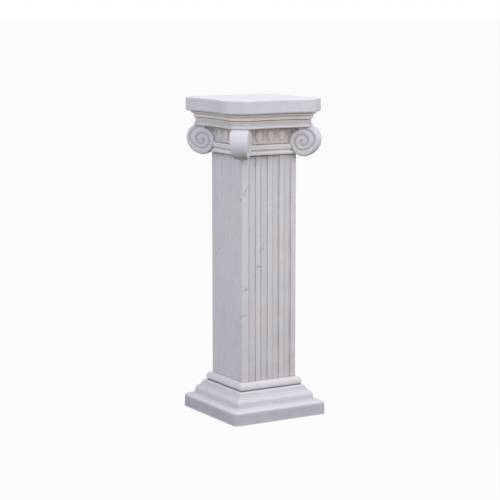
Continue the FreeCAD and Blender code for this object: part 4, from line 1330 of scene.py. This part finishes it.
def relief_unit(name: str, *tubes: tuple[np.ndarray, np.ndarray]) -> bpy.types.Object:
    """Makes a helper for instances, with its faces turned outwards.

    Args:
        name: Its name.
        *tubes: Its closed parts: a grid of places, and the limewash marks that spread over the grid.

    Returns:
        The helper.
    """
    places, faces, wash = np.empty((0, 3)), [], np.empty(0)
    for grid, marks in tubes:
        rows, count = grid.shape[:2]
        first, last = list(range(count)), list(range((rows - 1) * count, rows * count))
        caps = [last] if np.allclose(grid[0], grid[0, 0]) else [first[::-1], last]
        faces += [[len(places) + point for point in face] for face in lofted(rows, count) + caps]
        places = np.vstack((places, grid.reshape(-1, 3)))
        wash = np.r_[wash, np.clip(np.broadcast_to(marks, (rows, count)), 0.0, 1.0).ravel()]
    piece = solid(name, places, faces, wash, np.clip(0.4 - wash, 0, 1))
    work = bmesh.new()
    work.from_mesh(piece.data)
    bmesh.ops.remove_doubles(work, verts=work.verts, dist=1e-6)
    bmesh.ops.recalc_face_normals(work, faces=work.faces)
    work.to_mesh(piece.data)
    work.free()
    return piece


@dataclass
class Volute(Casting):
    """A scroll on a diagonal: two coiled faces and the tongue that runs over its rim.

    Its shape is drawn in turns round the eye: 0 is up, 0.25 away from the axis and 0.5 down.
    """

    node: str = "volute"
    finish: Finish = VOLUTE_WASH
    dents: float = 10.0
    wave: float = 0.00025
    diagonal: float = -45.0
    askew: float = 0.0
    hinge_out: float = 107.0
    eye_out: float = 129.0
    eye_level: float = 691.7
    eye_edge: float = 2.2
    ceiling: float = 729.3
    roll: float = 3.4
    angles: int = 264
    face_rings: int = 52
    rim_rings: int = 14
    outline: tuple[Pair, ...] = (
        (0.0, 38.0), (0.04, 39.5), (0.07, 42.5), (0.1, 44.5), (0.125, 45.0), (0.15, 45.2), (0.18, 43.6),
        (0.215, 42.6), (0.25, 41.2), (0.285, 40.0), (0.333, 38.2), (0.38, 36.8), (0.44, 36.2), (0.5, 36.4),
        (0.56, 35.6), (0.62, 33.6), (0.69, 31.6), (0.715, 32.6), (0.75, 36.0), (0.8, 37.8), (0.83, 40.2),
        (0.852, 42.5), (0.87, 44.0), (0.885, 45.6), (0.9, 47.0), (0.95, 44.0), (1.0, 38.0))
    groove: tuple[Pair, ...] = (
        (0.0, 34.2), (0.07, 33.6), (0.13, 33.4), (0.18, 32.8), (0.23, 30.6), (0.27, 28.2), (0.31, 24.6),
        (0.36, 21.4), (0.42, 20.2), (0.5, 20.3), (0.62, 20.4), (0.69, 19.8), (0.8, 19.4), (0.91, 19.2),
        (1.04, 18.0), (1.12, 16.6), (1.2, 14.6), (1.29, 11.9), (1.41, 9.9), (1.52, 9.0), (1.67, 6.6),
        (1.82, 5.4), (1.95, 4.0))
    half_width: tuple[Pair, ...] = (
        (656.0, 17.0), (661.0, 18.0), (666.0, 18.8), (677.0, 20.2), (697.0, 21.6), (727.0, 22.6))

    def build(self) -> bpy.types.Object:
        """Makes the scroll: one face, the tongue over the rim and the other face, as rows round the eye.

        Returns:
            The scroll.
        """
        turn = np.arange(self.angles) / self.angles
        rim = self.rim(turn)
        share = np.r_[np.linspace(0.0, 0.9, self.face_rings - 8, endpoint=False), np.linspace(0.9, 1.0, 8)]
        face = np.array([(radius, *self.relief(turn, radius, rim))
                         for radius in share[1:, None] * (rim - self.roll)])
        tongue = np.array([self.rolled(turn, rim, step / (self.rim_rings + 1))
                           for step in range(1, self.rim_rings + 1)])
        mirrored = np.array((1.0, -1.0, 1.0, 1.0))[:, None]
        # hollow and proud also carry the tongue's painted shade and painted highlight
        radius, height, hollow, proud = np.vstack((face * mirrored, tongue, face[::-1])).transpose(1, 0, 2)
        grid = joined(self.eye_out + radius * np.sin(TAU * turn), height,
                      self.eye_level + radius * np.cos(TAU * turn)).reshape(-1, 3)
        eye = self.relief(np.zeros(1), np.zeros(1), rim[:1])[0][0]
        hubs = [(self.eye_out, way * eye, self.eye_level) for way in (-1.0, 1.0)]
        hinge = np.array((self.hinge_out, 0.0, 0.0))
        grid = turned(np.vstack((grid, hubs)) - hinge, math.radians(self.askew)) + hinge
        grid = turned(grid, math.radians(self.diagonal))
        faces = lofted(len(radius), self.angles) + fans(len(radius), self.angles)
        return self.dress(solid(self.node, grid, faces, np.r_[hollow.ravel(), 0.1, 0.1],
                                np.r_[proud.ravel(), 0.5, 0.5]))

    def rim(self, turn: np.ndarray) -> np.ndarray:
        """Distance of the rim from the eye, cut off flat under the ribbon.

        Args:
            turn: Turns round the eye.

        Returns:
            The distance at each turn.
        """
        rising = np.cos(TAU * turn)
        flat = np.where(rising > 0.05, (self.ceiling - self.eye_level) / np.maximum(rising, 0.05), 99.0)
        rim = np.minimum(np.interp(turn, *np.array(self.outline).T), flat)
        return softened(np.tile(rim, 3)[:, None], 1.3, 1.0)[self.angles:2 * self.angles, 0]

    def relief(self, turn: np.ndarray, radius: np.ndarray, rim: np.ndarray) -> tuple[np.ndarray, ...]:
        """Height of a coiled face over the scroll's middle plane.

        Args:
            turn: Turns round the eye.
            radius: Distance from the eye.
            rim: Distance of the rim at each turn.

        Returns:
            The height, how hollow and how proud each point is.
        """
        level = self.eye_level + radius * np.cos(TAU * turn)
        outer = np.interp(turn, *np.array(self.groove).T)
        inner = np.interp(turn + 1.0, *np.array(self.groove).T, right=self.eye_edge)
        eye_edge = np.full_like(outer, self.eye_edge)
        bulge = np.zeros_like(radius)
        for low, high, rise in ((eye_edge, inner, 2.4), (inner, outer, 3.3), (outer, rim, 3.4)):
            span = np.maximum(high - low, 0.5)
            across = np.clip((radius - low) / span, 0.0, 1.0)
            coil = rise * np.clip(1.0 - (2.0 * across - 1.0) ** 2, 0.0, 1.0) ** 0.7
            inside = (radius >= low) & (radius < high)
            bulge = np.where(inside, coil * np.clip(span / 9.0, 0.25, 1.0), bulge)
        eye = 2.6 * np.clip(1.0 - (radius / 3.6) ** 2, 0.0, 1.0) ** 0.5
        from_inner, from_outer = np.abs(radius - inner), np.abs(radius - outer)
        cut = 0.8 * np.exp(-((np.minimum(from_inner, from_outer) / 2.8) ** 2))
        hollow = np.maximum(np.exp(-((from_inner / 3.0) ** 2)), 0.65 * np.exp(-((from_outer / 3.0) ** 2)))
        # the web between coil and ribbon lies deep, with a bar across it and a pocket at its end
        web = (np.clip((radius - 31.0) / 2.0, 0.0, 1.0) * np.clip((turn - 0.71) / 0.02, 0.0, 1.0)
               * np.clip((0.965 - turn) / 0.01, 0.0, 1.0))
        pocket = np.clip((turn - 0.845) / 0.02, 0.0, 1.0)
        sunk = web * (1.0 - 0.55 * np.exp(-(((turn - 0.905) / 0.012) ** 2)))
        half_width = np.interp(level, *np.array(self.half_width).T)
        height = half_width - 3.2 + np.maximum(bulge, eye) - cut - (5.0 + 2.5 * pocket) * sunk
        hollow = np.maximum(hollow * (1.0 - web), (0.25 + 1.1 * pocket) * sunk)
        return height, hollow, np.clip(bulge / 3.4 - 0.35, 0.0, 1.0) * (1.0 - web)

    def rolled(self, turn: np.ndarray, rim: np.ndarray, share: float) -> tuple[np.ndarray, ...]:
        """One line along the tongue, between one face's edge and the other's.

        Args:
            turn: Turns round the eye.
            rim: Distance of the rim at each turn.
            share: Place across the tongue, from 0 to 1.

        Returns:
            Radius, height, how hollow and how proud each point is; the hollow value also holds a painted shade
            where the tongue curls under, and the proud value a painted highlight over its top.
        """
        across = math.cos(math.pi * share)
        inset = rim - self.roll
        edge = self.relief(turn, inset, rim)[0]
        side = math.copysign(abs(across) ** 0.55, across)
        lift = (1.0 - abs(across) ** 3.2) ** 0.42
        radius = inset + self.roll * lift * (1.0 - 0.16 * abs(side))
        # painted shade where the tongue curls under, and a painted highlight over its top
        shade = np.clip((turn - 0.22) / 0.17, 0.0, 1.0) * np.clip((0.8 - turn) / 0.2, 0.0, 1.0)
        return radius, -edge * side, 2.6 * shade**1.4, 0.85 * (1.0 - shade)


# ---------------------------------------------------------------------------------------------
# Hidden hardware, light and camera
# ---------------------------------------------------------------------------------------------


@dataclass(frozen=True)
class Hardware:
    """The frame's own steel, beds and feet, which keep their shape and get a finish."""

    steel: tuple[str, ...] = ("tie_rod", "tie_plate_lower", "tie_plate_upper", "tie_washers", "tie_nuts",
                              "dowels_base", "dowels_neck", "dowels_slab", "volute_pins")
    pale_beds: tuple[str, ...] = ("bed_shaft_foot", "bed_bell")
    beds: tuple[str, ...] = ("bed_base", "bed_shaft_head", "bed_cornice", "bed_slab")
    feet: tuple[str, ...] = ("foot_front_left", "foot_front_right", "foot_back_right", "foot_back_left")

    def dress(self) -> None:
        """Assigns the finishes."""
        for names, finish in ((self.steel, STEEL), (self.beds, BEDDING), (self.pale_beds, PALE_BED),
                              (self.feet, RUBBER)):
            for name in names:
                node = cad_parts[name]
                node.data.materials.clear()
                node.data.materials.append(finish.material())
                log.info("%s: kept, %s", name, finish.name)


@dataclass(frozen=True)
class Lamp:
    """A square soft lamp that looks at the stand."""

    name: str
    place: Colour
    size: float
    power: float
    colour: Colour = (1.0, 1.0, 1.0)
    aim: Colour = (0.0, 0.0, 0.45)

    def hang(self) -> None:
        """Hangs the lamp."""
        light = bpy.data.lights.new(self.name, "AREA")
        light.energy, light.size, light.color = self.power, self.size, self.colour
        lamp = placed(self.name, light)
        lamp.location = self.place
        lamp.rotation_euler = (Vector(self.aim) - Vector(self.place)).to_track_quat("-Z", "Y").to_euler()


@dataclass(frozen=True)
class Studio:
    """Floor, plain backdrop, soft light and the camera."""

    azimuth: float = -30.834
    pitch: float = 8.374
    place: Colour = (-2.1693, -3.6160, 1.0353)
    lens: float = 121.37
    sensor: float = 36.0
    far: float = 100.0
    ambient: float = 0.45
    reach: float = 400.0
    floor_grey: float = 0.38
    floor_glow: float = 0.95
    lamps: tuple[Lamp, ...] = (
        Lamp("overhead_softbox", (0.15, -0.35, 3.0), 2.6, 37.0),
        Lamp("front_softbox", (1.25, -2.35, 1.7), 1.5, 25.0),
        Lamp("side_softbox", (-2.45, -1.05, 1.65), 1.5, 27.0, (0.86, 0.92, 1.0)),
        Lamp("back_softbox", (1.6, 3.3, 1.7), 1.8, 9.0))

    def build(self) -> None:
        """Makes everything that isn't part of the stand."""
        self.floor()
        self.world()
        for lamp in self.lamps:
            lamp.hang()
        camera = placed("camera", bpy.data.cameras.new("camera"))
        camera.data.lens = self.lens
        camera.data.sensor_width = self.sensor
        camera.data.clip_end = self.far
        camera.location = self.place
        camera.rotation_euler = (math.radians(90.0 - self.pitch), 0.0, math.radians(self.azimuth))
        bpy.context.scene.camera = camera

    @staticmethod
    def seen(tree: Tree) -> Wire:
        """1 for rays that come from the camera, straight or by mirror or glass.

        Args:
            tree: Writer of the tree that asks.

        Returns:
            The answer, 0 or 1.
        """
        path = tree.add("ShaderNodeLightPath")
        straight, mirrored, passed = (Wire(tree, path.outputs[name]) for name in (
            "Is Camera Ray", "Is Glossy Ray", "Is Transmission Ray"))
        return straight.most(mirrored.most(passed))

    def floor(self) -> None:
        """Lays a pale floor that shows white to the camera and keeps a soft shadow."""
        mesh = bpy.data.meshes.new("floor")
        corners = ((-1, -1), (1, -1), (1, 1), (-1, 1))
        mesh.from_pydata([(x * self.reach, y * self.reach, 0.0) for x, y in corners], [], [(0, 1, 2, 3)])
        floor = placed("floor", mesh)
        pale = bpy.data.materials.new("pale_floor")
        pale.use_nodes = True
        tree, nodes = Tree(pale.node_tree), pale.node_tree.nodes
        shader = nodes["Principled BSDF"]
        tree.feed(shader, {"Base Color": (*[self.floor_grey] * 3, 1.0), "Roughness": 1.0})
        glow = tree.out("ShaderNodeEmission", {"Color": (1.0, 1.0, 1.0, 1.0), "Strength": 1.0})
        mixed = tree.out("ShaderNodeMixShader", {0: self.seen(tree) * self.floor_glow, 1: shader.outputs[0],
                                                 2: glow})
        tree.feed(nodes["Material Output"], {"Surface": mixed})
        mesh.materials.append(pale)

    def world(self) -> None:
        """Lights the stand from all round, and shows white behind it."""
        world = bpy.data.worlds.new("studio")
        bpy.context.scene.world = world
        world.use_nodes = True
        tree = Tree(world.node_tree)
        strength = tree.out("ShaderNodeMapRange", {0: self.seen(tree), 3: self.ambient, 4: 1.0})
        tree.feed(world.node_tree.nodes["Background"], {"Color": (1.0, 1.0, 1.0, 1.0), "Strength": strength})


def main() -> None:
    """Builds every piece in order, from the floor up, and reports each."""
    logging.basicConfig(level=logging.INFO, format="%(name)s %(message)s")
    Studio().build()
    Hardware().dress()
    Base().build()
    CoredMoulding(node="base_torus", section=TORUS, finish=FOOT_WASH, seed=5).build()
    Shaft().build()
    CoredMoulding(node="neck_collar", section=NECK, finish=COLLAR_LIT_WASH, head_stain=0.15, seed=7).build()
    Bell().build()
    Cornice().build()
    Slab().build()
    Frieze().build()
    Volute(node="volute_front_left", diagonal=-135.0, askew=3.5, seed=61).build()
    Volute(node="volute_front_right", diagonal=-45.0, seed=62).build()
    Volute(node="volute_back_right", diagonal=45.0, seed=63).build()
    Volute(node="volute_back_left", diagonal=135.0, seed=64).build()
    bpy.context.scene.view_settings.view_transform = "Standard"


if __name__ == "__main__":
    main()
